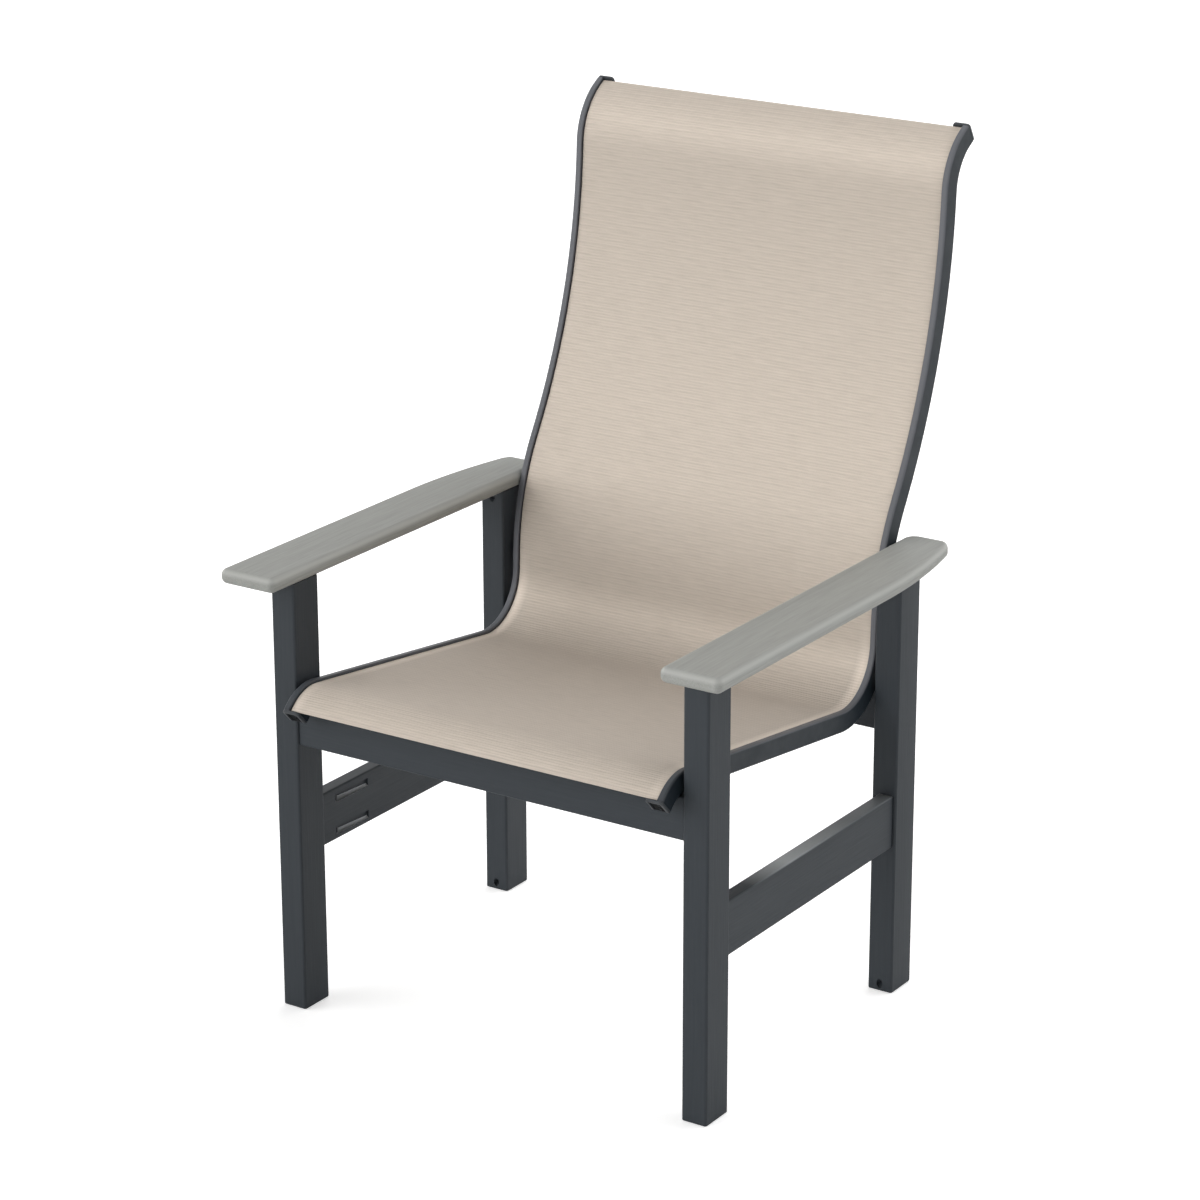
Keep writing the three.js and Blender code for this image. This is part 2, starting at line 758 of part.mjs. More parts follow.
// End caps: a flanged plate on the rail's end with a tongue in its hollow
function capGeometry(turn) {
  const width = railWidth + 2 * capFlange;
  const height = railDepth + 2 * capFlange;
  const outline = roundedRectangle(width, height, capCornerRadius, 0, -railDepth / 2);
  const plate = new THREE.ExtrudeGeometry(outline, {
    depth: capThickness - 2 * capEdgeRadius,
    bevelEnabled: true,
    bevelThickness: capEdgeRadius,
    bevelSize: capEdgeRadius,
    bevelOffset: -capEdgeRadius,
    bevelSegments: 1,
    curveSegments: roundSteps,
  });
  plate.translate(0, 0, capEdgeRadius);
  const tongueWidth = railWidth - 2 * (railWall + capTongueClearance);
  const tongueHeight = hollowFront - hollowBack - 2 * capTongueClearance;
  const tongueRun = capTongueLength + capThickness / 2;
  const tongue = new THREE.BoxGeometry(tongueWidth, tongueHeight, tongueRun);
  tongue.translate(0, hollowMiddle, capThickness / 2 - tongueRun / 2);
  const holes = [
    { x: turn * (slotCentre - railCentre), y: -keyholeDepth },
    { x: 0, y: hollowMiddle },
  ].map(({ x, y }) =>
    rod(capHoleRadius, capThickness - capHoleDepth, capThickness + cutOverrun, screwSides)
      .translate(x, y, 0));
  return cut(join([plate, tongue]), holes);
}

function capPieces() {
  const last = stations[stations.length - 1];
  const places = [
    { end: 'front', frame: pathFrame(stations[0]), turn: 1 },
    { end: 'top', frame: pathFrame(last, -1), turn: -1 },
  ];
  return sides.flatMap(({ side, sideSign }) => places.map(({ end, frame, turn }) => {
    const handed = turn * sideSign;
    const place = frame.clone().multiply(at(handed * railCentre, 0, fit));
    return piece(`${side}_rail_${end}_cap`, capGeometry(handed), capPlastic, place);
  }));
}

const fasteners = [
  ...boards.flatMap(pocketFasteners),
  ...legs.map(armFastener),
  ...legs.map(boltFastener),
  ...spreaders.flatMap(spreaderFasteners),
];

function drilled(name, geometry, material, place) {
  const passing = fasteners.filter(({ through }) => through.includes(name));
  return piece(name, drill(geometry, place, passing), material, place);
}

function frameGroup() {
  const group = new THREE.Group();
  for (const { name, endSign, place } of legs) {
    group.add(drilled(name, legGeometry(endSign), framePolymer, place));
  }
  for (const board of boards) {
    group.add(drilled(board.name, boardGeometry(board), framePolymer, board.place));
  }
  for (const { side, sideSign } of sides) {
    const x = sideSign * (legInner - armInnerOverhang);
    const place = at(x, -frameDepth / 2 - armFrontOverhang, armUnderside);
    group.add(drilled(`${side}_armrest`, armGeometry(side), armPolymer, place));
  }
  return group;
}

function slingGroup() {
  const group = new THREE.Group();
  const origin = new THREE.Matrix4();
  const hemRoute = shortened(stations, slingEndGap);
  for (const { side, sideSign } of sides) {
    const rail = sweep(sectionFor(side, railSection(), cornerSteps), stations);
    group.add(drilled(`${side}_sling_rail`, rail, railPaint, origin));
    const rodSection = new THREE.Shape(
      ringPoints(splineRadius, sideSign * slotCentre, -keyholeDepth));
    group.add(piece(`${side}_hem_rod`, sweep(rodSection, hemRoute), splinePlastic));
  }
  group.add(piece('sling_fabric', sweep(slingSection(), hemRoute), slingCloth));
  for (const { name, place } of spreaders) {
    group.add(drilled(name, spreaderGeometry(), railPaint, place));
  }
  group.add(...capPieces());
  return group;
}

function footGroup() {
  const group = new THREE.Group();
  for (const { side, end, place } of legs) {
    const foot = place.clone().multiply(at(0, 0, -glideProud));
    group.add(piece(`${side}_${end}_glide`, glideGeometry(), glideNylon, foot));
  }
  return group;
}

const chair = new THREE.Group();
const hardware = new THREE.Group();
hardware.add(...fastenerPieces(fasteners), ...legs.map(spacerPiece));
chair.add(frameGroup(), slingGroup(), hardware, footGroup());

// The origin lies on the floor under the middle of the whole chair
const extent = new THREE.Box3().setFromObject(chair);
chair.position.y = -(extent.min.y + extent.max.y) / 2;

export default chair;
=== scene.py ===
# Sling patio chair: a charcoal polymer board frame, grey armrests, and a beige mesh sling held
# between two bent aluminium side rails. Lengths are in metres, the front faces -Y and +Z is up.
import math

import bmesh
import bpy
from mathutils import Matrix, Vector


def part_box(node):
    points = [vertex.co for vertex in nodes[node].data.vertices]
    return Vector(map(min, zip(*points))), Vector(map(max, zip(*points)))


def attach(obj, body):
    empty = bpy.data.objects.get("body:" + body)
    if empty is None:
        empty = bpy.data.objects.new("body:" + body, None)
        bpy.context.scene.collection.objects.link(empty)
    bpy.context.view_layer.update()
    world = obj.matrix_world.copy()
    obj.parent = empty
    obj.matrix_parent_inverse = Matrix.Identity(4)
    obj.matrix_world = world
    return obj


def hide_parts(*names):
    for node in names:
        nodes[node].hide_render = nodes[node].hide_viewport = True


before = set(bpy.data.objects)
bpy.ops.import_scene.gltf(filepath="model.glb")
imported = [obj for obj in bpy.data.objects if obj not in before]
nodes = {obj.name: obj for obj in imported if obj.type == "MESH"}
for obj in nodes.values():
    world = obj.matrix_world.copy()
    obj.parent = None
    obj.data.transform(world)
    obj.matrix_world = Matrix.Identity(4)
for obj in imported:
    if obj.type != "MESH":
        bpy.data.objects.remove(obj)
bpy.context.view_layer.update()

SIDES = {"left": -1, "right": 1}
ENDS = {"front": -1, "rear": 1}

# Legs and boards
LEG_EDGE = 0.0035
LEG_END = 0.0015
BOARD_EDGE = 0.0025
BOARD_END = 0.0006
ROUNDING_STEPS = 4
POCKET_WIDTH = 0.0114
POCKET_LENGTH = 0.0725
POCKET_DEPTH = 0.010
POCKET_SETBACK = 0.0405
POCKET_FAR_DEPTH = 0.0035
POCKET_ROUND = 0.0045
STRETCHER_POCKETS = {"from_top": 0.0155, "from_underside": 0.0127}
CROSS_RAIL_POCKETS = {"from_top": 0.016, "from_underside": 0.0215}
# A board's faces that lie so far behind its inner face, and inside these margins, are pockets
POCKET_FROM = 0.0003
POCKET_TO = POCKET_DEPTH + 0.0005
BOARD_MARGIN = 0.004
BOARD_END_MARGIN = 0.01
TOE_HOLE_RADIUS = 0.0047
TOE_HOLE_INSET = 0.011
TOE_HOLE_DEPTH = 0.006

# Armrests: the place and half width of the painted highlight are shares of the edge's rounding
ARM_EDGE = 0.0095
ARM_STEPS = 6
ARM_HIGHLIGHT_DROP = 0.4
ARM_HIGHLIGHT_HALF = 0.5
ARM_FRONT_CORNER = 0.010
ARM_INNER_REAR_CORNER = 0.020
ARM_OUTER_REAR_CORNER = 0.011
ARM_TAPER_LENGTH = 0.212
ARM_TAPER_DROP = 0.0255
ARM_TAPER_SHARE = 0.93

# Section of the side rails: height 0 is the front face of the outer lip
RAIL_DEPTH = 0.029
RAIL_WALL = 0.0025
RAIL_CORNER = 0.003
SHOULDER_DROP = 0.005
SLOT_INSET = 0.0105
SLOT_WIDTH = 0.0024
SLOT_ROUND = 0.0012
KEYHOLE_RADIUS = 0.0045
KEYHOLE_DEPTH = 0.0115
# The painted highlight on the outer lip: its gain, its share at the front end and the run it
# grows over
LIP_HIGHLIGHT_GAIN = 1.5
LIP_HIGHLIGHT_FRONT_SHARE = 0.3
LIP_HIGHLIGHT_FADE_LENGTH = 0.4

# Sling: its sheet bends into the slots, goes down them and turns round the hem rods
CLOTH_THICKNESS = 0.0012
CLOTH_HEIGHT = -0.0040
CLOTH_BEND = 0.0012
CLOTH_COLUMNS = 36
CLOTH_END_GAP = 0.0015
CLOTH_MAP_MIDDLE = 0.3
HEM_RADIUS = 0.0034
HEM_TURN = 330
HEM_STEPS = 14

# End caps
CAP_THICKNESS = 0.004
CAP_FLANGE = 0.0004
CAP_CORNER = 0.005
CAP_EDGE = 0.0015
CAP_BACK_EDGE = 0.0005
CAP_GAP = 0.0003
CAP_BACK_ROUND = 0.0068
CAP_RIM = 0.0022
CAP_RECESS = 0.0016
CAP_HOLE_RADIUS = 0.0022
CAP_HOLE_DEPTH = 0.0025
CAP_LOWER_HOLE = -0.0222
CAP_TONGUE = (-0.0096, -0.026, -0.007), (0.0096, -0.0195, 0.001)

# Foot glides
GLIDE_RADIUS = 0.011
GLIDE_HEIGHT = 0.0045
GLIDE_EDGE = 0.0008
GLIDE_STEM_RADIUS = 0.003
GLIDE_CLEARANCE = 0.0003
GLIDE_BORE_DEPTH = 0.0038

# Fasteners, as shares of the head's height, the head's radius or the shank's length
HEAD_ROUND = 0.6
DRIVE_DEPTH = 0.55
DRIVE_HALF = 0.34
POINT_SHARE = 0.06
POINT_WIDTH = 0.2

# Places read from the frame
front_leg_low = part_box("right_front_leg")[0]
rear_leg_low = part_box("right_rear_leg")[0]
rail_low, rail_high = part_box("right_sling_rail")
RAIL_INNER = rail_low[0]
RAIL_OUTER = rail_high[0]
SLOT_CENTRE = RAIL_OUTER - SLOT_INSET


# Small helpers for working by hand
def deselect_everything():
    if bpy.context.object and bpy.context.object.mode != "OBJECT":
        bpy.ops.object.mode_set(mode="OBJECT")
    bpy.ops.object.select_all(action="DESELECT")


def make_active(*objects):
    deselect_everything()
    for thing in objects:
        thing.select_set(True)
    bpy.context.view_layer.objects.active = objects[-1]


def edit(thing):
    make_active(thing)
    bpy.ops.object.mode_set(mode="EDIT")
    return bmesh.from_edit_mesh(thing.data)


def leave_edit():
    bpy.ops.object.mode_set(mode="OBJECT")


def settle(thing):
    """Puts the object's place, turn and size into its mesh."""
    make_active(thing)
    bpy.ops.object.transform_apply(location=True, rotation=True, scale=True)


def face_outwards():
    """Turns all faces of the mesh in edit mode outwards, and leaves it."""
    bpy.ops.mesh.select_all(action="SELECT")
    bpy.ops.mesh.normals_make_consistent(inside=False)
    leave_edit()


def pull(move):
    bpy.ops.mesh.extrude_region_move(TRANSFORM_OT_translate={"value": move})


def select(thing, kind, wanted):
    """Selects the wanted edges or faces of a piece in edit mode, and nothing else."""
    bpy.ops.mesh.select_mode(type=kind)
    bpy.ops.mesh.select_all(action="DESELECT")
    mesh = bmesh.from_edit_mesh(thing.data)
    for part in mesh.edges if kind == "EDGE" else mesh.faces:
        if wanted(part):
            part.select_set(True)


def round_edges(thing, wanted, radius, steps, **settings):
    select(thing, "EDGE", wanted)
    bpy.ops.mesh.bevel(offset=radius, segments=steps, affect="EDGES", **settings)


def inset_faces(thing, wanted, thickness):
    select(thing, "FACE", wanted)
    bpy.ops.mesh.inset(thickness=thickness)


def at_height(edge, height):
    return all(abs(corner.co.z - height) < 1e-5 for corner in edge.verts)


def span(edge):
    """The way from one end of an edge to the other."""
    return edge.verts[0].co - edge.verts[1].co


def smooth(thing, angle=35):
    make_active(thing)
    bpy.ops.object.shade_smooth_by_angle(angle=math.radians(angle))


def flatten_faces(thing):
    """Keeps the large faces flat to look at, so that only the rounded edges bend the light."""
    weigh = thing.modifiers.new("flat_faces", "WEIGHTED_NORMAL")
    weigh.keep_sharp = True
    apply_modifiers(thing)


def apply_modifiers(thing):
    make_active(thing)
    for modifier in list(thing.modifiers):
        bpy.ops.object.modifier_apply(modifier=modifier.name)


def copy_of(thing, name):
    twin = thing.copy()
    twin.data = thing.data.copy()
    twin.name = name
    bpy.context.scene.collection.objects.link(twin)
    return twin


def mirrored_copy(thing, name):
    twin = copy_of(thing, name)
    twin.scale.x = -1
    settle(twin)
    edit(twin)
    face_outwards()
    return twin


def carve(thing, tools):
    """Cuts the tools out of the piece one after another, and throws them away."""
    for tool in tools:
        cut = thing.modifiers.new("cut", "BOOLEAN")
        cut.operation = "DIFFERENCE"
        cut.solver = "EXACT"
        cut.object = tool
        apply_modifiers(thing)
        bpy.data.objects.remove(tool)


def block(name, low, high):
    centre = [(a + b) / 2 for a, b in zip(low, high)]
    bpy.ops.mesh.primitive_cube_add(size=1, location=centre)
    thing = bpy.context.object
    thing.name = name
    thing.scale = [b - a for a, b in zip(low, high)]
    settle(thing)
    return thing


def cylinder(centre, radius, depth, vertices=48, turn=(0, 0, 0)):
    bpy.ops.mesh.primitive_cylinder_add(
        vertices=vertices, radius=radius, depth=depth, location=centre, rotation=turn
    )
    return bpy.context.object


# Drawing with a pen: a corner is pulled out of the last one, an arc is spun about its middle
def put_pen(name, point):
    deselect_everything()
    bpy.ops.mesh.primitive_plane_add(size=0.01, location=(0, 0, 0))
    thing = bpy.context.object
    thing.name = name
    bpy.ops.object.mode_set(mode="EDIT")
    bpy.ops.mesh.select_mode(type="VERT")
    bpy.ops.mesh.select_all(action="SELECT")
    bpy.ops.mesh.merge(type="CENTER")
    bpy.ops.transform.translate(value=point)
    return thing


def pen_place(thing):
    mesh = bmesh.from_edit_mesh(thing.data)
    picked = [vertex.co for vertex in mesh.verts if vertex.select]
    return sum(picked, Vector()) / len(picked)


def line_to(thing, point):
    pull(Vector(point) - pen_place(thing))


def arc_about(centre, axis, degrees, steps):
    angle = -math.radians(degrees)
    bpy.ops.mesh.spin(steps=steps, angle=angle, center=centre, axis=axis, use_auto_merge=False)


def close_outline():
    """Merges the corners that meet, and leaves all selected."""
    bpy.ops.mesh.select_all(action="SELECT")
    bpy.ops.mesh.remove_doubles(threshold=0.00001)


# Path of the sling and its rails, in the plane of the side of the chair. Each stretch is a
# straight (length) or a bend (radius and the heading that it ends on), with its steps.
SEAT_HEADING = -7.1
LOWER_BACK_HEADING = 88.3
PATH_START_HEADING = 44.0
LEG_FACE_TO_CROWN = 0.0245
LEG_FACE_TO_BACK = 0.0127
CROWN_HEIGHT = 0.480
BEND_RADIUS = 0.074
FRONT_RADIUS = 0.068
crown_y = front_leg_low[1] + LEG_FACE_TO_CROWN
lower_back_y = rear_leg_low[1] + LEG_FACE_TO_BACK


def sine(degrees):
    return math.sin(math.radians(degrees))


def cosine(degrees):
    return math.cos(math.radians(degrees))


bend_run = BEND_RADIUS * (sine(LOWER_BACK_HEADING) - sine(SEAT_HEADING))
seat_length = (lower_back_y - bend_run - crown_y) / cosine(SEAT_HEADING)
STRETCHES = [
    {"length": 0.008, "steps": 1},
    {"radius": FRONT_RADIUS, "heading": SEAT_HEADING, "steps": 12},
    {"length": seat_length, "steps": 24},
    {"radius": BEND_RADIUS, "heading": LOWER_BACK_HEADING, "steps": 22},
    {"length": 0.024, "steps": 2},
    {"radius": 0.342, "heading": 59.0, "steps": 14},
    {"radius": 0.830, "heading": 86.8, "steps": 20},
    {"length": 0.018, "steps": 1},
    {"radius": 0.098, "heading": 30.0, "steps": 14},
    {"length": 0.008, "steps": 1},
]


def path_start():
    """The front end of the path: its place and its heading."""
    turned = sine(PATH_START_HEADING) - sine(SEAT_HEADING)
    risen = cosine(SEAT_HEADING) - cosine(PATH_START_HEADING)
    y = crown_y - FRONT_RADIUS * turned - STRETCHES[0]["length"] * cosine(PATH_START_HEADING)
    z = CROWN_HEIGHT - FRONT_RADIUS * risen - STRETCHES[0]["length"] * sine(PATH_START_HEADING)
    return y, z, PATH_START_HEADING


def walk(stretches):
    """The stations of the path as (y, z, heading, distance run), and the bends' middles."""
    y, z, heading = path_start()
    stations = [(y, z, heading, 0.0)]
    middles = []
    run = 0.0
    for stretch in stretches:
        if "radius" in stretch:
            side = 1 if stretch["heading"] > heading else -1
            radius = stretch["radius"]
            middle = (y - side * radius * sine(heading), z + side * radius * cosine(heading))
            turn = stretch["heading"] - heading
            for step in range(1, stretch["steps"] + 1):
                now = heading + turn * step / stretch["steps"]
                y = middle[0] + side * radius * sine(now)
                z = middle[1] - side * radius * cosine(now)
                run += radius * math.radians(abs(turn)) / stretch["steps"]
                stations.append((y, z, now, run))
            heading = stretch["heading"]
        else:
            middle = None
            for _ in range(stretch["steps"]):
                y += stretch["length"] / stretch["steps"] * cosine(heading)
                z += stretch["length"] / stretch["steps"] * sine(heading)
                run += stretch["length"] / stretch["steps"]
                stations.append((y, z, heading, run))
        middles.append(middle)
    return stations, middles


stations, bend_middles = walk(STRETCHES)


def nearest_station(place):
    return min(stations, key=lambda s: (s[0] - place.y) ** 2 + (s[1] - place.z) ** 2)


def stand_at_start(thing, trim=0.0):
    """Turns a section drawn in the XZ plane to face along the path at its front end."""
    y, z, heading, _ = stations[0]
    thing.rotation_euler = (math.radians(heading), 0, 0)
    thing.location = (0, y + trim * cosine(heading), z + trim * sine(heading))
    settle(thing)


def carry_along_path(thing, trim=0.0):
    """Pulls the section along the straights and spins it round the bends."""
    edit(thing)
    bpy.ops.mesh.select_mode(type="VERT")
    bpy.ops.mesh.select_all(action="SELECT")
    heading = PATH_START_HEADING
    last = len(STRETCHES) - 1
    for number, stretch in enumerate(STRETCHES):
        if "radius" in stretch:
            centre = (0, bend_middles[number][0], bend_middles[number][1])
            arc_about(centre, (1, 0, 0), stretch["heading"] - heading, stretch["steps"])
            heading = stretch["heading"]
            continue
        length = stretch["length"] - (trim if number in (0, last) else 0)
        stride = length / stretch["steps"]
        for _ in range(stretch["steps"]):
            pull((0, stride * cosine(heading), stride * sine(heading)))


def close_ends(thing):
    """Fills the open rings at both ends and turns all faces outwards."""
    mesh = bmesh.from_edit_mesh(thing.data)
    rims = [edge.verts[0].co.y for edge in mesh.edges if edge.is_boundary]
    middle = sum(rims) / len(rims)
    for end in ENDS.values():
        select(thing, "EDGE",
               lambda edge: edge.is_boundary and (edge.verts[0].co.y - middle) * end > 0)
        bpy.ops.mesh.fill(use_beauty=True)
    face_outwards()


def mark_highlight(piece, nearness):
    """Writes the mask of a painted highlight: 1 on the rim of a piece, fading to 0 away from it.
    """
    rim = piece.data.attributes.new("rim", "FLOAT", "POINT")
    for vertex in piece.data.vertices:
        rim.data[vertex.index].value = min(1.0, max(0.0, nearness(vertex.co)))


# Planks: a block with its long edges and its end rims rounded
def plank(name, low, high, grain, edge_radius, end_radius):
    thing = block(name, low, high)
    edit(thing)
    round_edges(thing, lambda edge: abs(span(edge)[grain]) > 0.01, edge_radius, ROUNDING_STEPS)
    ends = (low[grain], high[grain])

    def on_end(edge):
        return any(all(abs(v.co[grain] - end) < 1e-5 for v in edge.verts) for end in ends)

    round_edges(thing, on_end, end_radius, 2)
    leave_edit()
    return thing


def toe_hole_cutter(mouth, drive):
    """A round bar lying along the drive direction, its flat end at the bottom of the hole."""
    length = 0.03
    bottom = Vector(mouth) + Vector(drive) * TOE_HOLE_DEPTH
    middle = bottom - Vector(drive) * length / 2
    turn = Vector((0, 0, 1)).rotation_difference(Vector(drive)).to_euler()
    return cylinder(middle, TOE_HOLE_RADIUS, length, 32, turn)


def make_leg(side, end):
    name = f"{side}_{end}_leg"
    low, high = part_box(name)
    leg = plank(name + "_post", low, high, 2, LEG_EDGE, LEG_END)
    inward = -ENDS[end]
    face_y = high[1] if inward > 0 else low[1]
    x = (low[0] + high[0]) / 2
    slant = math.sqrt(0.5)
    holes = []
    for upward in (-1, 1):
        z = high[2] - TOE_HOLE_INSET if upward > 0 else low[2] + TOE_HOLE_INSET
        holes.append(toe_hole_cutter((x, face_y, z), (0, -inward * slant, upward * slant)))
    foot = (x, (low[1] + high[1]) / 2, low[2])
    glide_bore = cylinder(foot, GLIDE_RADIUS + GLIDE_CLEARANCE, 2 * GLIDE_BORE_DEPTH)
    carve(leg, holes + [glide_bore])
    return leg


def pocket_cutter(mouth, along, outward, up):
    """A wedge with its bottom edges rounded: deep at the shoulder, shallow at its far end."""
    over = 0.004
    cutter = block(
        "pocket_cutter",
        (0, -POCKET_DEPTH, -POCKET_WIDTH / 2),
        (POCKET_LENGTH, over, POCKET_WIDTH / 2),
    )
    mesh = edit(cutter)
    for vertex in mesh.verts:
        if vertex.co.x > POCKET_LENGTH / 2 and vertex.co.y < 0:
            vertex.co.y = -POCKET_FAR_DEPTH
        elif vertex.co.x < POCKET_LENGTH / 2 and vertex.co.y > 0:
            vertex.co.x -= (POCKET_DEPTH + over) * POCKET_DEPTH / POCKET_LENGTH
    bmesh.update_edit_mesh(cutter.data)

    def beside_floor(edge):
        deep = all(corner.co.y < over / 2 for corner in edge.verts)
        return deep and abs(span(edge).x) > POCKET_LENGTH / 2

    round_edges(cutter, beside_floor, POCKET_ROUND, 5)
    leave_edit()
    turn = Matrix((along, outward, up)).transposed().to_4x4()
    cutter.matrix_world = Matrix.Translation(mouth) @ turn
    settle(cutter)
    edit(cutter)
    face_outwards()
    return cutter


def make_board(name, grain, outward, pockets):
    """A board with four screw pockets in the face that looks to the middle of the chair."""
    low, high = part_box(name)
    board = plank(name + "_board", low, high, grain, BOARD_EDGE, BOARD_END)
    thin = 1 - grain
    face = high[thin] if outward > 0 else low[thin]
    out = Vector((0, 0, 0))
    out[thin] = outward
    up = Vector((0, 0, 1))
    cutters = []
    for end in (-1, 1):
        along = Vector((0, 0, 0))
        along[grain] = -end
        edge = high[grain] if end > 0 else low[grain]
        for z in (high[2] - pockets["from_top"], low[2] + pockets["from_underside"]):
            mouth = Vector((0, 0, z))
            mouth[thin] = face
            mouth[grain] = edge - end * POCKET_SETBACK
            cutters.append(pocket_cutter(mouth, along, out, up))
    carve(board, cutters)
    return board


def mark_board_top_highlight(board, node):
    """The painted highlight of a board lies on its top face and fades down the roundings beside
    it.
    """
    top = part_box(node)[1][2]
    mark_highlight(board, lambda place: 1 - (top - place.z) / BOARD_EDGE)


def paint_pocket_light_and_shade(board, node, grain, outward):
    """Paints light on the ledge of each pocket and shade on its ceiling, with two plain
    materials.
    """
    low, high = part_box(node)
    thin = 1 - grain
    face = high[thin] if outward > 0 else low[thin]
    board.data.materials.append(pocket_ledge_painted_light)
    board.data.materials.append(painted_deep_shade)
    for polygon in board.data.polygons:
        centre = polygon.center
        inside = POCKET_FROM < abs(centre[thin] - face) < POCKET_TO and all(
            low[axis] + margin < centre[axis] < high[axis] - margin
            for axis, margin in ((2, BOARD_MARGIN), (grain, BOARD_END_MARGIN))
        )
        if inside and polygon.normal.z > 0.3:
            polygon.material_index = 1
        elif inside and polygon.normal.z < -0.5:
            polygon.material_index = 2


# Armrests
def make_armrest():
    """The right armrest, drawn round its outline, thickened and rounded all round."""
    low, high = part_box("right_armrest")
    z = low[2]
    up = (0, 0, 1)
    radius = (ARM_TAPER_LENGTH ** 2 + ARM_TAPER_DROP ** 2) / (2 * ARM_TAPER_DROP)
    angle = math.degrees(math.atan2(ARM_TAPER_LENGTH, radius - ARM_TAPER_DROP))
    front, inner, outer = ARM_FRONT_CORNER, ARM_INNER_REAR_CORNER, ARM_OUTER_REAR_CORNER
    taper_start = high[1] - ARM_TAPER_LENGTH
    taper = angle * ARM_TAPER_SHARE
    arm = put_pen("right_arm_board", (low[0] + front, low[1], z))
    line_to(arm, (high[0] - front, low[1], z))
    arc_about((high[0] - front, low[1] + front, z), up, 90, ARM_STEPS)
    line_to(arm, (high[0], taper_start, z))
    arc_about((high[0] - radius, taper_start, z), up, taper, 16)
    rear = (high[0] - ARM_TAPER_DROP - outer, high[1] - outer, z)
    line_to(arm, (rear[0] + outer * cosine(angle), rear[1] + outer * sine(angle), z))
    arc_about(rear, up, 90 - angle, ARM_STEPS)
    line_to(arm, (low[0] + inner, high[1], z))
    arc_about((low[0] + inner, high[1] - inner, z), up, 90, 10)
    line_to(arm, (low[0], low[1] + front, z))
    arc_about((low[0] + front, low[1] + front, z), up, 90, ARM_STEPS)
    close_outline()
    bpy.ops.mesh.edge_face_add()
    pull((0, 0, high[2] - low[2]))
    round_edges(arm, lambda edge: abs(span(edge).z) < 1e-6, ARM_EDGE, ARM_STEPS)
    face_outwards()
    return arm


def mark_arm_highlight(arm):
    """The painted highlight of an armrest lies along the middle of its upper rounding."""
    top = max(vertex.co.z for vertex in arm.data.vertices)
    mark_highlight(arm, lambda place: 1 - abs((place.z - top) / ARM_EDGE + ARM_HIGHLIGHT_DROP) / ARM_HIGHLIGHT_HALF)


# Side rails
def make_rail():
    """The right rail: lip, slot, keyhole, shoulder and hollow drawn once and carried along."""
    half = SLOT_WIDTH / 2
    mouth = math.degrees(math.asin(half / KEYHOLE_RADIUS))
    across = (0, -1, 0)
    r = RAIL_CORNER
    back = -RAIL_DEPTH
    top = -SHOULDER_DROP
    rail = put_pen("right_rail_bar", (RAIL_INNER + r, 0, back))
    line_to(rail, (RAIL_OUTER - r, 0, back))
    arc_about((RAIL_OUTER - r, 0, back + r), across, 90, 4)
    line_to(rail, (RAIL_OUTER, 0, -r))
    arc_about((RAIL_OUTER - r, 0, -r), across, 90, 4)
    line_to(rail, (SLOT_CENTRE + half + SLOT_ROUND, 0, 0))
    arc_about((SLOT_CENTRE + half + SLOT_ROUND, 0, -SLOT_ROUND), across, 90, 3)
    rise = KEYHOLE_RADIUS * cosine(mouth)
    line_to(rail, (SLOT_CENTRE + half, 0, rise - KEYHOLE_DEPTH))
    arc_about((SLOT_CENTRE, 0, -KEYHOLE_DEPTH), across, 2 * mouth - 360, 16)
    line_to(rail, (SLOT_CENTRE - half, 0, top - SLOT_ROUND))
    arc_about((SLOT_CENTRE - half - SLOT_ROUND, 0, top - SLOT_ROUND), across, 90, 3)
    line_to(rail, (RAIL_INNER + r, 0, top))
    arc_about((RAIL_INNER + r, 0, top - r), across, 90, 4)
    line_to(rail, (RAIL_INNER, 0, back + r))
    arc_about((RAIL_INNER + r, 0, back + r), across, 90, 4)
    close_outline()
    leave_edit()
    inner, outer, low = RAIL_INNER + RAIL_WALL, RAIL_OUTER - RAIL_WALL, back + RAIL_WALL
    high = -KEYHOLE_DEPTH - KEYHOLE_RADIUS - RAIL_WALL
    hollow = put_pen("right_rail_hollow", (inner, 0, low))
    for x, z in ((outer, low), (outer, high), (inner, high), (inner, low)):
        line_to(hollow, (x, 0, z))
    close_outline()
    make_active(hollow, rail)
    bpy.ops.object.join()
    stand_at_start(rail)
    carry_along_path(rail)
    close_ends(rail)
    return rail


def mark_rail_lip_highlight(rail):
    """The painted highlight of a rail lies on the face of its outer lip, weaker towards the front
    end.
    """
    def nearness(place):
        if abs(place.x) < SLOT_CENTRE:
            return 0.0
        y, z, heading, run = nearest_station(place)
        height = (place.z - z) * cosine(heading) - (place.y - y) * sine(heading)
        lip = min(1.0, LIP_HIGHLIGHT_GAIN * (1 + height / RAIL_CORNER))
        return lip * min(1.0, LIP_HIGHLIGHT_FRONT_SHARE + run / LIP_HIGHLIGHT_FADE_LENGTH)

    mark_highlight(rail, nearness)


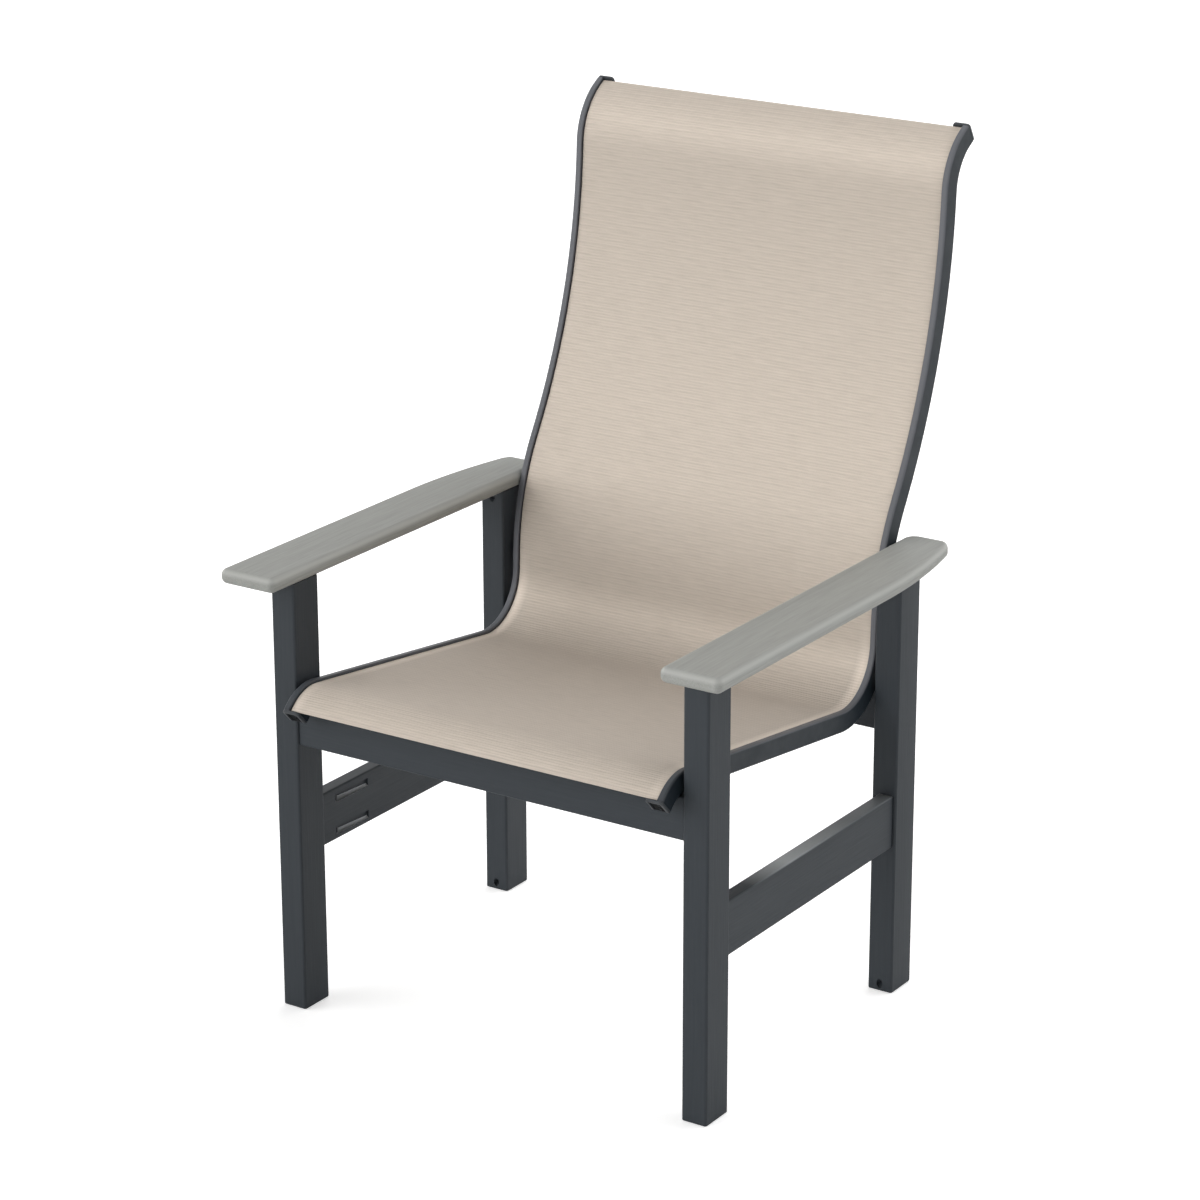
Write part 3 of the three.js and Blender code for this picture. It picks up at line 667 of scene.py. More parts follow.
# Sling
def make_sling():
    """A sheet that crosses both shoulders, goes down both slots and round both hem rods."""
    across = (0, -1, 0)
    low_neck = HEM_RADIUS - KEYHOLE_DEPTH
    high_neck = CLOTH_HEIGHT - CLOTH_BEND
    reach = SLOT_CENTRE - CLOTH_BEND
    sling = put_pen("sling_mesh_panel", (SLOT_CENTRE, 0, low_neck))
    line_to(sling, (SLOT_CENTRE, 0, high_neck))
    arc_about((reach, 0, high_neck), across, 90, 4)
    for column in range(1, CLOTH_COLUMNS + 1):
        line_to(sling, (reach - 2 * reach * column / CLOTH_COLUMNS, 0, CLOTH_HEIGHT))
    arc_about((-reach, 0, high_neck), across, 90, 4)
    line_to(sling, (-SLOT_CENTRE, 0, low_neck))
    arc_about((-SLOT_CENTRE, 0, -KEYHOLE_DEPTH), across, HEM_TURN, HEM_STEPS)
    mesh = bmesh.from_edit_mesh(sling.data)
    bpy.ops.mesh.select_all(action="DESELECT")
    start = min(mesh.verts, key=lambda v: (v.co - Vector((SLOT_CENTRE, 0, low_neck))).length)
    start.select_set(True)
    arc_about((SLOT_CENTRE, 0, -KEYHOLE_DEPTH), across, -HEM_TURN, HEM_STEPS)
    leave_edit()
    stand_at_start(sling, CLOTH_END_GAP)
    carry_along_path(sling, CLOTH_END_GAP)
    face_outwards()
    lay_out_cloth(sling)
    return sling


def lay_out_cloth(sling):
    """Gives the sheet a UV map in metres: u across it from left to right, v along it."""
    cloth_map = sling.data.uv_layers.new(name="cloth")
    places = []
    for vertex in sling.data.vertices:
        y, z, heading, run = nearest_station(vertex.co)
        along = (vertex.co.y - y) * cosine(heading) + (vertex.co.z - z) * sine(heading)
        places.append((vertex.co.x + CLOTH_MAP_MIDDLE, run + along))
    for loop in sling.data.loops:
        cloth_map.data[loop.index].uv = places[loop.vertex_index]


# End caps
def back_rounding_cutter(back):
    """What lies outside a rounded corner between the end face of a cap and its back."""
    half, over, r = 0.03, 0.003, CAP_BACK_ROUND
    top = CAP_THICKNESS
    cutter = put_pen("back_rounding", (-half, back + r, top))
    for y, z in ((back + r, top + over), (back - over, top + over), (back - over, top - r),
                 (back, top - r)):
        line_to(cutter, (-half, y, z))
    arc_about((-half, back + r, top - r), (1, 0, 0), -90, 10)
    close_outline()
    bpy.ops.mesh.edge_face_add()
    pull((2 * half, 0, 0))
    face_outwards()
    return cutter


def make_cap():
    """A round-cornered plate on the XY plane, with a recess and two holes, and its tongue."""
    width = RAIL_OUTER - RAIL_INNER + 2 * CAP_FLANGE
    depth = RAIL_DEPTH + 2 * CAP_FLANGE
    cap = block(
        "end_cap",
        (-width / 2, -RAIL_DEPTH / 2 - depth / 2, 0),
        (width / 2, -RAIL_DEPTH / 2 + depth / 2, CAP_THICKNESS),
    )
    edit(cap)
    round_edges(cap, lambda edge: abs(span(edge).z) > 1e-4, CAP_CORNER, 8)
    round_edges(cap, lambda edge: at_height(edge, CAP_THICKNESS), CAP_EDGE, 4)
    round_edges(cap, lambda edge: at_height(edge, 0), CAP_BACK_EDGE, 2)
    inset_faces(cap, lambda face: face.normal.z > 0.99 and face.calc_area() > 1e-4, CAP_RIM)
    pull((0, 0, -CAP_RECESS))
    leave_edit()
    upper_hole = (SLOT_CENTRE - (RAIL_INNER + RAIL_OUTER) / 2, -KEYHOLE_DEPTH)
    holes = [
        cylinder((x, y, CAP_THICKNESS), CAP_HOLE_RADIUS, 2 * CAP_HOLE_DEPTH)
        for x, y in (upper_hole, (0, CAP_LOWER_HOLE))
    ]
    carve(cap, holes + [back_rounding_cutter(-RAIL_DEPTH - CAP_FLANGE)])
    tongue = block("cap_tongue", *CAP_TONGUE)
    make_active(tongue, cap)
    bpy.ops.object.join()
    return cap


def rail_end(end):
    """The end of a rail in the middle plane, the way out of it and the way up from the sling."""
    y, z, heading, _ = stations[0 if end == "front" else -1]
    along = Vector((0, cosine(heading), sine(heading))) * (-1 if end == "front" else 1)
    return Vector((0, y, z)), along, Vector((0, -sine(heading), cosine(heading)))


def place_cap(cap, side, end):
    piece = copy_of(cap, f"{side}_rail_{end}_plug")
    place, along, out = rail_end(end)
    place.x = SIDES[side] * (RAIL_INNER + RAIL_OUTER) / 2
    turn = Matrix((out.cross(along), out, along)).transposed().to_4x4()
    piece.matrix_world = Matrix.Translation(place + along * CAP_GAP) @ turn
    settle(piece)
    return piece


def paint_recess_shade(piece, end):
    """Paints shade on the floor inside the cap's rim with the near-black material."""
    place, along, _ = rail_end(end)
    top = place.dot(along) + CAP_GAP + CAP_THICKNESS - CAP_RECESS / 2
    piece.data.materials.append(painted_deep_shade)
    for face in piece.data.polygons:
        inside = top - CAP_RECESS < face.center.dot(along) < top
        if inside and face.normal.dot(along) > 0.9:
            face.material_index = 1


# Fasteners: a round head with a square drive recess, centred on the origin, and a shank below
def make_screw(head_radius, head_height, shank_radius, length):
    screw = cylinder((0, 0, -head_height / 2), head_radius, head_height, 28)
    edit(screw)
    round_edges(screw, lambda edge: all(v.co.z > -1e-5 for v in edge.verts),
                head_height * HEAD_ROUND, 4)
    inset_faces(screw, lambda face: face.normal.z < -0.9, head_radius - shank_radius)
    shank = length - head_height
    pull((0, 0, -shank * (1 - POINT_SHARE)))
    pull((0, 0, -shank * POINT_SHARE))
    bpy.ops.transform.resize(value=(POINT_WIDTH, POINT_WIDTH, 1))
    leave_edit()
    half, bottom, top = head_radius * DRIVE_HALF, -head_height * DRIVE_DEPTH, 0.002
    carve(screw, [block("drive_recess", (-half, -half, bottom), (half, half, top))])
    return screw


def screw_line(node):
    """The head end of a fastener and the way that it points, read from its solid."""
    corners = [vertex.co.copy() for vertex in nodes[node].data.vertices]
    middle = sum(corners, Vector()) / len(corners)
    tip = max(corners, key=lambda corner: (corner - middle).length)
    drive = (tip - middle).normalized()
    reach = [corner.dot(drive) for corner in corners]
    return tip - drive * (max(reach) - min(reach)), drive


def place_screw(screw, node):
    piece = copy_of(screw, node + "_fixing")
    head, drive = screw_line(node)
    turn = Vector((0, 0, -1)).rotation_difference(drive).to_matrix().to_4x4()
    piece.matrix_world = Matrix.Translation(head) @ turn
    settle(piece)
    return piece


# Foot glides
def make_glide(side, end):
    low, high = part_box(f"{side}_{end}_glide")
    centre = ((low[0] + high[0]) / 2, (low[1] + high[1]) / 2, GLIDE_HEIGHT / 2)
    glide = cylinder(centre, GLIDE_RADIUS, GLIDE_HEIGHT)
    glide.name = f"{side}_{end}_foot_pad"
    settle(glide)
    edit(glide)
    round_edges(glide, lambda edge: at_height(edge, 0), GLIDE_EDGE, 3)
    inset_faces(glide, lambda face: face.normal.z > 0.9, GLIDE_RADIUS - GLIDE_STEM_RADIUS)
    pull((0, 0, high[2] - GLIDE_HEIGHT))
    leave_edit()
    return glide


# A finer copy of a plain solid: merged, its flat faces joined and its edges softened
def softened(node, name, radius):
    piece = copy_of(nodes[node], name)
    piece.parent = None
    for key in list(piece.keys()):
        del piece[key]
    edit(piece)
    close_outline()
    bpy.ops.mesh.dissolve_limited(angle_limit=math.radians(1))

    def sharp(edge):
        return len(edge.link_faces) == 2 and edge.calc_face_angle() > math.radians(40)

    round_edges(piece, sharp, radius, 3, clamp_overlap=True)
    leave_edit()
    return piece


# Materials
MOTTLE = (0.3, 0.7)
GRAIN_STRETCH = 0.03
PLANK_RELIEF = 0.0003


def new_group(name, inputs, outputs):
    """A node group with the sockets of its entry and its exit."""
    group = bpy.data.node_groups.new(name, "ShaderNodeTree")
    for label, kind, *value in inputs:
        socket = group.interface.new_socket(name=label, in_out="INPUT", socket_type=kind)
        if value:
            socket.default_value = value[0]
    for label, kind in outputs:
        group.interface.new_socket(name=label, in_out="OUTPUT", socket_type=kind)
    entry = group.nodes.new("NodeGroupInput")
    leaving = group.nodes.new("NodeGroupOutput")
    return group, entry.outputs, leaving.inputs


def add(tree, kind, **settings):
    """A node with its settings, which are its own properties or the values of its inputs."""
    node = tree.nodes.new(kind)
    for key, value in settings.items():
        if key in node.bl_rna.properties:
            setattr(node, key, value)
        else:
            node.inputs[key.replace("_", " ")].default_value = value
    return node


def arithmetic(tree, operation, first, second=None):
    node = tree.nodes.new("ShaderNodeMath")
    node.operation = operation
    for socket, value in zip(node.inputs, (first, second)):
        if value is None:
            continue
        if isinstance(value, (int, float)):
            socket.default_value = value
        else:
            tree.links.new(value, socket)
    return node.outputs[0]


def blend_colour(tree, own, other, mask):
    """The own colour where the mask is low and the other one where it is high."""
    blend = add(tree, "ShaderNodeMix", data_type="RGBA")
    colours = [socket for socket in blend.inputs if socket.type == "RGBA"]
    tree.links.new(mask, blend.inputs["Factor"])
    tree.links.new(own, colours[0])
    if isinstance(other, tuple):
        colours[1].default_value = (*other, 1)
    else:
        tree.links.new(other, colours[1])
    return next(socket for socket in blend.outputs if socket.type == "RGBA")


def noise(tree, vector, **settings):
    texture = add(tree, "ShaderNodeTexNoise", **settings)
    tree.links.new(vector, texture.inputs["Vector"])
    return texture


def grain_group():
    """Fine streaks along a plank with slow mottling: a shade mask and a height."""
    group, entry, leaving = new_group(
        "plank_grain",
        [("Vector", "NodeSocketVector"), ("Fineness", "NodeSocketFloat", 420.0)],
        [("Shade", "NodeSocketFloat"), ("Height", "NodeSocketFloat")],
    )
    streaks = noise(group, entry["Vector"], Detail=3.0, Roughness=0.6)
    group.links.new(entry["Fineness"], streaks.inputs["Scale"])
    mottle = noise(group, entry["Vector"], Scale=14.0, Detail=2.0)
    slow = arithmetic(group, "MULTIPLY", mottle.outputs["Fac"], 0.45)
    fine = arithmetic(group, "MULTIPLY", streaks.outputs["Fac"], 0.55)
    group.links.new(arithmetic(group, "ADD", slow, fine), leaving["Shade"])
    group.links.new(streaks.outputs["Fac"], leaving["Height"])
    return group


def weave_group():
    """Plain weave of coated yarns from a UV map in metres: a shade mask, a height and slubs."""
    group, entry, leaving = new_group(
        "sling_weave",
        [
            ("Vector", "NodeSocketVector"),
            ("Weft pitch", "NodeSocketFloat", 0.004),
            ("Warp pitch", "NodeSocketFloat", 0.0025),
        ],
        [(label, "NodeSocketFloat") for label in ("Shade", "Height", "Slub")],
    )
    split = group.nodes.new("ShaderNodeSeparateXYZ")
    group.links.new(entry["Vector"], split.inputs[0])
    warp_turn = arithmetic(group, "DIVIDE", split.outputs["X"], entry["Warp pitch"])
    weft_turn = arithmetic(group, "DIVIDE", split.outputs["Y"], entry["Weft pitch"])

    def wave(turns, angle):
        return arithmetic(group, "SINE", arithmetic(group, "MULTIPLY", turns, angle))

    warp, weft = wave(warp_turn, 2 * math.pi), wave(weft_turn, 2 * math.pi)
    crossing = arithmetic(group, "MULTIPLY", warp, weft)
    height = arithmetic(group, "ADD", arithmetic(group, "MULTIPLY", crossing, 0.35),
                        arithmetic(group, "MULTIPLY", weft, 0.4))
    rib = arithmetic(group, "MULTIPLY", wave(weft_turn, math.pi), 0.25)
    height = arithmetic(group, "ADD", height, rib)
    stretch = add(group, "ShaderNodeMapping", Scale=(28.0, 420.0, 1.0))
    group.links.new(entry["Vector"], stretch.inputs["Vector"])
    slub = noise(group, stretch.outputs["Vector"], Scale=1.0, Detail=3.0, Roughness=0.65)
    shade = arithmetic(group, "ADD", arithmetic(group, "MULTIPLY", height, 0.5), 0.5)
    group.links.new(height, leaving["Height"])
    group.links.new(shade, leaving["Shade"])
    group.links.new(slub.outputs["Fac"], leaving["Slub"])
    return group


def coat_group():
    """Fine orange peel with slow mottling: a shade mask and a height."""
    group, entry, leaving = new_group(
        "coat_peel",
        [("Vector", "NodeSocketVector")],
        [("Shade", "NodeSocketFloat"), ("Height", "NodeSocketFloat")],
    )
    peel = noise(group, entry["Vector"], Scale=900.0, Detail=2.0)
    mottle = noise(group, entry["Vector"], Scale=35.0, Detail=2.0)
    group.links.new(mottle.outputs["Fac"], leaving["Shade"])
    group.links.new(peel.outputs["Fac"], leaving["Height"])
    return group


def highlight_group():
    """A painted highlight: the colour turns to the rim colour where the rim attribute and the
    band are high.
    """
    group, entry, leaving = new_group(
        "painted_highlight",
        [
            ("Colour", "NodeSocketColor"),
            ("Rim colour", "NodeSocketColor"),
            ("Band", "NodeSocketFloat", 1.0),
        ],
        [("Colour", "NodeSocketColor")],
    )
    rim = add(group, "ShaderNodeAttribute", attribute_name="rim")
    mask = arithmetic(group, "MULTIPLY", rim.outputs["Fac"], entry["Band"])
    blended = blend_colour(group, entry["Colour"], entry["Rim colour"], mask)
    group.links.new(blended, leaving["Colour"])
    return group


plank_grain = grain_group()
sling_weave = weave_group()
coat_peel = coat_group()
painted_highlight = highlight_group()


def new_material(name, roughness, specular, metallic=0.0):
    material = bpy.data.materials.new(name)
    material.use_nodes = True
    tree = material.node_tree
    shader = tree.nodes["Principled BSDF"]
    shader.inputs["Roughness"].default_value = roughness
    shader.inputs["Specular IOR Level"].default_value = specular
    shader.inputs["Metallic"].default_value = metallic
    return material, tree, shader


def colour_between(tree, mask, low, high, dark, light):
    """A colour that goes from dark to light as the mask goes from low to high."""
    ramp = tree.nodes.new("ShaderNodeValToRGB")
    ramp.color_ramp.elements[0].position = low
    ramp.color_ramp.elements[1].position = high
    ramp.color_ramp.elements[0].color = (*dark, 1)
    ramp.color_ramp.elements[1].color = (*light, 1)
    tree.links.new(mask, ramp.inputs["Fac"])
    return ramp.outputs["Color"]


def raise_surface(tree, shader, height, distance, strength):
    bump = add(tree, "ShaderNodeBump", Distance=distance, Strength=strength)
    tree.links.new(height, bump.inputs["Height"])
    tree.links.new(bump.outputs["Normal"], shader.inputs["Normal"])


def value_between(tree, mask, low, high, least, most):
    """A value that goes from least to most as the mask goes from low to high."""
    ends = {"From_Min": low, "From_Max": high, "To_Min": least, "To_Max": most}
    reach = add(tree, "ShaderNodeMapRange", **ends)
    tree.links.new(mask, reach.inputs["Value"])
    return reach.outputs["Result"]


def part_of(tree, vector, axis):
    """One coordinate of a vector."""
    split = tree.nodes.new("ShaderNodeSeparateXYZ")
    tree.links.new(vector, split.inputs[0])
    return split.outputs[axis]


def use_group(tree, group, vector, **values):
    """A node group placed in a material with its own values."""
    node = add(tree, "ShaderNodeGroup", node_tree=group, **values)
    tree.links.new(vector, node.inputs[0])
    return node.outputs


def object_place(tree):
    return tree.nodes.new("ShaderNodeTexCoord").outputs["Object"]


def plank_material(name, grain, dark, light, roughness, fineness):
    """Polymer plank with its grain along one axis."""
    material, tree, shader = new_material(name, roughness, 0.25)
    scale = [GRAIN_STRETCH if axis == grain else 1 for axis in range(3)]
    stretch = add(tree, "ShaderNodeMapping", Scale=scale)
    tree.links.new(object_place(tree), stretch.inputs["Vector"])
    streaks = use_group(tree, plank_grain, stretch.outputs["Vector"], Fineness=fineness)
    colour = colour_between(tree, streaks["Shade"], *MOTTLE, dark, light)
    gloss = value_between(tree, streaks["Shade"], *MOTTLE, roughness + 0.05, roughness - 0.05)
    tree.links.new(colour, shader.inputs["Base Color"])
    tree.links.new(gloss, shader.inputs["Roughness"])
    raise_surface(tree, shader, streaks["Height"], PLANK_RELIEF, 0.5)
    return material


def paint_highlight(material, light, band=None):
    """Paints a highlight on the rim of a piece: all of it, or a band along it (its rise and its
    fall).
    """
    tree = material.node_tree
    base = tree.nodes["Principled BSDF"].inputs["Base Color"]
    own = base.links[0].from_socket
    shade = add(tree, "ShaderNodeGroup", node_tree=painted_highlight, Rim_colour=(*light, 1))
    tree.links.new(own, shade.inputs["Colour"])
    if band:
        y = part_of(tree, object_place(tree), "Y")
        rise, fall = (value_between(tree, y, *ends) for ends in band)
        tree.links.new(arithmetic(tree, "MINIMUM", rise, fall), shade.inputs["Band"])
    tree.links.new(shade.outputs["Colour"], base)


def coated_material(name, dark, light, roughness, metallic=0.0, specular=0.5):
    """Powder coat, moulded plastic or coated steel, and the plain painted shade and painted
    light.
    """
    material, tree, shader = new_material(name, roughness, specular, metallic)
    peel = use_group(tree, coat_peel, object_place(tree))
    colour = colour_between(tree, peel["Shade"], *MOTTLE, dark, light)
    gloss = value_between(tree, peel["Shade"], *MOTTLE, roughness + 0.06, roughness - 0.04)
    tree.links.new(colour, shader.inputs["Base Color"])
    tree.links.new(gloss, shader.inputs["Roughness"])
    raise_surface(tree, shader, peel["Height"], 0.0002, 0.25)
    return material


# Cloth: its yarns' colours; a painted highlight along its side edges, along the seat, from the
# slot inwards and from the front backwards; and painted light and shade by how far the surface
# faces up
CLOTH_DARK = (0.401, 0.350, 0.2965)
CLOTH_LIGHT = (0.571, 0.500, 0.4295)
CLOTH_EDGE_HIGHLIGHT = (0.75, 0.66, 0.57)
EDGE_HIGHLIGHT_BAND = (SLOT_CENTRE - 0.0185, SLOT_CENTRE - 0.0075, 0.0, 1.0)
SEAT_HIGHLIGHT_BAND = (0.03, 0.2, 0.4, 1.0), (0.52, 0.62, 1.0, 0.0)
PAINTED_LEAN_SHADING = (0.02, 0.45, 0.87, 1.12), (0.5, 0.95, 1.12, 1.0)


def cloth_material():
    material, tree, shader = new_material("sling_mesh", 0.75, 0.3)
    shader.inputs["Sheen Weight"].default_value = 0.08
    cloth_map = add(tree, "ShaderNodeUVMap", uv_map="cloth").outputs["UV"]
    weave = use_group(tree, sling_weave, cloth_map)
    yarns = arithmetic(tree, "MULTIPLY", weave["Shade"], 0.5)
    mask = arithmetic(tree, "ADD", yarns, weave["Slub"])
    own = colour_between(tree, mask, 0.15, 0.95, CLOTH_DARK, CLOTH_LIGHT)
    across = arithmetic(tree, "SUBTRACT", part_of(tree, cloth_map, "X"), CLOTH_MAP_MIDDLE)
    edge = value_between(tree, arithmetic(tree, "ABSOLUTE", across), *EDGE_HIGHLIGHT_BAND)

    def rise_and_fall(value, bands):
        return arithmetic(tree, "MINIMUM", *(value_between(tree, value, *ends) for ends in bands))

    # A painted highlight along the side edges of the seat
    seat = rise_and_fall(part_of(tree, cloth_map, "Y"), SEAT_HIGHLIGHT_BAND)
    blended = blend_colour(tree, own, CLOTH_EDGE_HIGHLIGHT, arithmetic(tree, "MULTIPLY", edge, seat))
    # Painted light and shade by how far the surface faces up
    normal = tree.nodes.new("ShaderNodeNewGeometry").outputs["Normal"]
    shaded = add(tree, "ShaderNodeVectorMath", operation="SCALE")
    tree.links.new(blended, shaded.inputs[0])
    tree.links.new(rise_and_fall(part_of(tree, normal, "Z"), PAINTED_LEAN_SHADING), shaded.inputs["Scale"])
    tree.links.new(shaded.outputs["Vector"], shader.inputs["Base Color"])
    raise_surface(tree, shader, weave["Height"], 0.0006, 0.45)
    return material


CHARCOAL = (0.028, 0.034, 0.040), (0.035, 0.041, 0.048)
# A painted highlight along the top of the right side stretcher, in a band that rises and falls
STRETCHER_HIGHLIGHT_BAND = (-0.228, -0.135, 0, 1), (-0.125, 0.03, 1, 0.3)
frame_upright = plank_material("frame_polymer_upright", 2, *CHARCOAL, 0.45, 420)
frame_fore_aft = plank_material("frame_polymer_fore_aft", 1, *CHARCOAL, 0.45, 420)
frame_across = plank_material("frame_polymer_across", 0, *CHARCOAL, 0.45, 420)
paint_highlight(frame_fore_aft, (0.365, 0.385, 0.395), STRETCHER_HIGHLIGHT_BAND)
arm_polymer = plank_material(
    "arm_polymer", 1, (0.222, 0.226, 0.210), (0.330, 0.335, 0.316), 0.55, 520
)
# A painted highlight along the upper rounding of the armrests
paint_highlight(arm_polymer, (0.435, 0.438, 0.415))
rail_paint = coated_material(
    "rail_powder_coat", (0.011, 0.017, 0.023), (0.015, 0.021, 0.027), 0.42, specular=0.28
)
# A painted highlight on the face of the rails' outer lips
paint_highlight(rail_paint, (0.125, 0.130, 0.143))
cap_plastic = coated_material("cap_plastic", (0.034, 0.039, 0.044), (0.042, 0.047, 0.053), 0.5)
# Near-black painted shade for the pockets' ceilings and the caps' recesses
painted_deep_shade = coated_material(
    "painted_deep_shade", (0.004, 0.0045, 0.005), (0.006, 0.0065, 0.007), 0.7, specular=0.1
)
# Pale painted light for the pockets' ledges
pocket_ledge_painted_light = coated_material("pocket_ledge_painted_light", (0.32, 0.34, 0.36), (0.38, 0.40, 0.42), 0.6)
glide_nylon = coated_material("glide_nylon", (0.022, 0.023, 0.025), (0.03, 0.032, 0.034), 0.5)
rod_plastic = coated_material("hem_rod_plastic", (0.45, 0.43, 0.40), (0.52, 0.50, 0.46), 0.5)
coated_steel = coated_material(
    "coated_steel", (0.10, 0.105, 0.112), (0.13, 0.136, 0.144), 0.38, metallic=0.7
)
sling_cloth = cloth_material()


def finish_piece(piece, material, slot, *replaced, angle=35, flat=True):
    """Gives a piece its material and shading, hangs it on the root body and hides the parts that
    it replaces.
    """
    piece.data.materials.clear()
    piece.data.materials.append(material)
    smooth(piece, angle)
    if flat:
        flatten_faces(piece)
    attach(piece, "root")
    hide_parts(*replaced)


# Building the chair
for side in SIDES:
    for end in ENDS:
        corner = f"{side}_{end}"
        finish_piece(make_leg(side, end), frame_upright, "frame_polymer", corner + "_leg")
        finish_piece(make_glide(side, end), glide_nylon, "glide_nylon", corner + "_glide")

BOARDS = [
    (SIDES, "side_stretcher", 1, STRETCHER_POCKETS, frame_fore_aft),
    (ENDS, "cross_rail", 0, CROSS_RAIL_POCKETS, frame_across),
]
for places, kind, grain, pockets, material in BOARDS:
    for place, sign in places.items():
        name = f"{place}_{kind}"
        board = make_board(name, grain, -sign, pockets)
        finish_piece(board, material, "frame_polymer", name)
        # Painted light on the pockets' ledges and painted shade on their ceilings
        paint_pocket_light_and_shade(board, name, grain, -sign)
        # Only the right side stretcher gets the painted highlight on its top
        if name == "right_side_stretcher":
            mark_board_top_highlight(board, name)

right_arm = make_armrest()
left_arm = mirrored_copy(right_arm, "left_arm_board")
# Each armrest gets the mask of its painted highlight
for side, arm in (("right", right_arm), ("left", left_arm)):
    finish_piece(arm, arm_polymer, "arm_polymer", f"{side}_armrest")
    mark_arm_highlight(arm)

right_rail = make_rail()
left_rail = mirrored_copy(right_rail, "left_rail_bar")
for side, rail in (("right", right_rail), ("left", left_rail)):
    finish_piece(rail, rail_paint, "rail_aluminium", f"{side}_sling_rail")
    mark_rail_lip_highlight(rail)

sling = make_sling()
thicken = sling.modifiers.new("cloth_thickness", "SOLIDIFY")
thicken.thickness = CLOTH_THICKNESS
thicken.offset = 0
apply_modifiers(sling)
finish_piece(sling, sling_cloth, "sling_mesh", "sling_fabric", angle=50, flat=False)

cap = make_cap()
for side in SIDES:
    for end in ("front", "top"):
        plug = place_cap(cap, side, end)
        finish_piece(plug, cap_plastic, "cap_plastic", f"{side}_rail_{end}_cap")
        # Painted shade on the floor of the cap's recess
        paint_recess_shade(plug, end)
bpy.data.objects.remove(cap)

# Fasteners: head radius, head height, shank radius and whole length
FASTENERS = {
    "pocket": (0.0046, 0.003, 0.0021, 0.063),
    "arm": (0.004, 0.0028, 0.0021, 0.0298),
    "spreader": (0.0046, 0.0028, 0.0021, 0.0168),
    "bolt": (0.0055, 0.0032, 0.003, 0.0572),
}
screws = {kind: make_screw(*sizes) for kind, sizes in FASTENERS.items()}


def screw_kind(node):
    if node.endswith("_bolt"):
        return "bolt"
    if "spreader" in node:
        return "spreader"
    return "arm" if "armrest" in node else "pocket"


for node in sorted(nodes):
    if node.endswith(("_screw", "_bolt")):
        fixing = place_screw(screws[screw_kind(node)], node)
        finish_piece(fixing, coated_steel, "coated_steel", node)
for screw in screws.values():
    bpy.data.objects.remove(screw)

for node in ("back_spreader_bar", "seat_spreader_bar"):
    bar = softened(node, node + "_flat", 0.0012)
    finish_piece(bar, rail_paint, "rail_aluminium", node)
for node in sorted(nodes):
    if node.endswith("_spacer"):
        ring = softened(node, node + "_ring", 0.0004)
        finish_piece(ring, cap_plastic, "cap_plastic", node)
for side in SIDES:
    rod = nodes[f"{side}_hem_rod"].data
    rod.materials.clear()
    rod.materials.append(rod_plastic)


# Studio: white floor and background, soft light from all round, and the camera
FLOOR_GLOW = 0.5
AIR_LIGHT = 1.02
AIR_TOP = 0.69
LOBES = [
    {"azimuth": -44, "elevation": 11, "spread": (0.73, 0.98), "light": 4.1},
    {"azimuth": 160, "elevation": 37.5, "spread": (0.57, 0.82), "light": 1.8},
]
CAMERA_PLACE = Vector((2.7081, -4.1515, 2.2773))
CAMERA_AIM = Vector((0.1948, -0.2619, 0.6745))
CAMERA_LENS = 116.08
CAMERA_SHIFT = (-0.0373, -0.0042)
CAMERA_ROLL = 0.094


def make_floor():
    """A floor that takes the object's shadow and looks white to the camera."""
    bpy.ops.mesh.primitive_plane_add(size=40, location=(0, 0, 0))
    floor = bpy.context.object
    floor.name = "studio_floor"
    material, tree, shader = new_material("studio_white", 0.9, 0.0)
    shader.inputs["Base Color"].default_value = (0.9, 0.9, 0.9, 1)
    light_path = tree.nodes.new("ShaderNodeLightPath")
    glow = tree.nodes.new("ShaderNodeEmission")
    total = tree.nodes.new("ShaderNodeAddShader")
    strength = arithmetic(tree, "MULTIPLY", light_path.outputs["Is Camera Ray"], FLOOR_GLOW)
    tree.links.new(strength, glow.inputs["Strength"])
    tree.links.new(shader.outputs[0], total.inputs[0])
    tree.links.new(glow.outputs[0], total.inputs[1])
    tree.links.new(total.outputs[0], tree.nodes["Material Output"].inputs["Surface"])
    floor.data.materials.append(material)


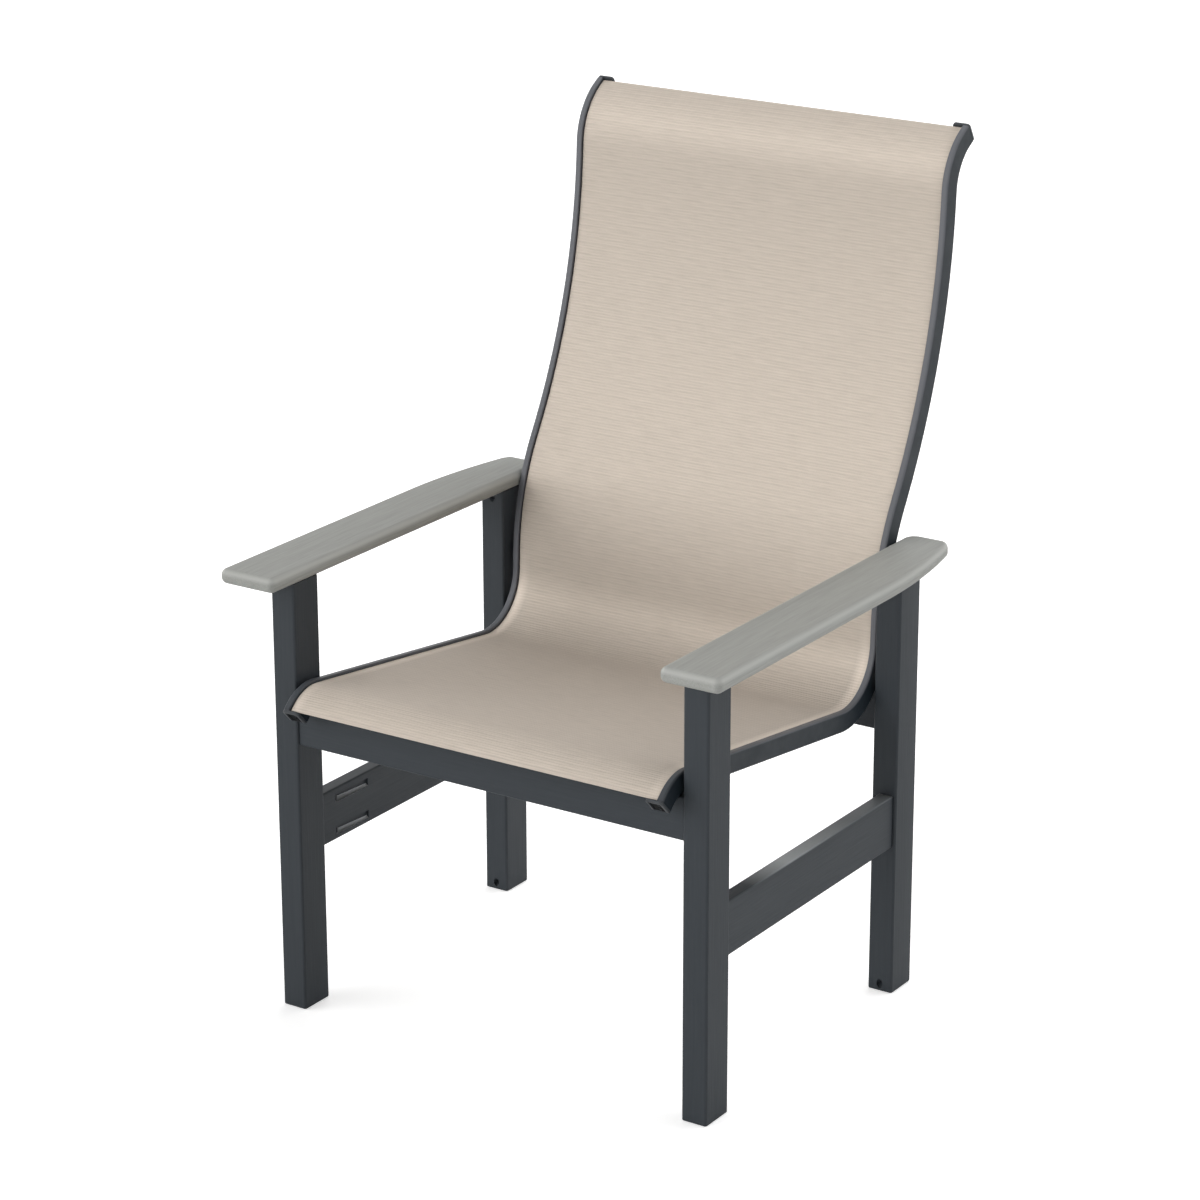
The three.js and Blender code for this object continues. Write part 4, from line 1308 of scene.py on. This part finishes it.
def heading_vector(azimuth, elevation):
    """A direction, its azimuth turning from the front of the chair to its right."""
    flat = cosine(elevation)
    return (sine(azimuth) * flat, -cosine(azimuth) * flat, sine(elevation))


def light_world():
    """Soft light: air that fades upwards, a wide glow low on the front left and a weaker one
    higher on the rear right. Everything seen directly or in a reflection is plain white."""
    world = bpy.data.worlds.new("studio_air")
    bpy.context.scene.world = world
    world.use_nodes = True
    tree = world.node_tree
    background = tree.nodes["Background"]
    background.inputs["Color"].default_value = (1, 1, 1, 1)
    ray = tree.nodes.new("ShaderNodeLightPath").outputs
    seen = arithmetic(tree, "MAXIMUM", ray["Is Camera Ray"], ray["Is Transmission Ray"])
    seen = arithmetic(tree, "MAXIMUM", seen, ray["Is Glossy Ray"])
    direction = tree.nodes.new("ShaderNodeTexCoord").outputs["Generated"]
    glow = value_between(tree, part_of(tree, direction, "Z"), 0.0, AIR_TOP, AIR_LIGHT, 0.0)
    for lobe in LOBES:
        towards = add(tree, "ShaderNodeVectorMath", operation="DOT_PRODUCT")
        towards.inputs[1].default_value = heading_vector(lobe["azimuth"], lobe["elevation"])
        tree.links.new(direction, towards.inputs[0])
        nearness = towards.outputs["Value"]
        near = value_between(tree, nearness, *lobe["spread"], 0.0, lobe["light"])
        glow = arithmetic(tree, "ADD", glow, near)
    choose = tree.nodes.new("ShaderNodeMix")
    choose.inputs["B"].default_value = 1.0
    tree.links.new(seen, choose.inputs["Factor"])
    tree.links.new(glow, choose.inputs["A"])
    tree.links.new(choose.outputs["Result"], background.inputs["Strength"])


make_floor()
light_world()

camera_data = bpy.data.cameras.new("photo_camera")
camera_data.sensor_width = 36
camera_data.lens = CAMERA_LENS
camera_data.shift_x, camera_data.shift_y = CAMERA_SHIFT
camera = bpy.data.objects.new("photo_camera", camera_data)
bpy.context.scene.collection.objects.link(camera)
camera.location = CAMERA_PLACE
look = (CAMERA_AIM - CAMERA_PLACE).to_track_quat("-Z", "Y").to_matrix()
roll = Matrix.Rotation(math.radians(CAMERA_ROLL), 3, "Z")
camera.rotation_euler = (look @ roll).to_euler()
bpy.context.scene.camera = camera
bpy.context.scene.view_settings.view_transform = "Standard"
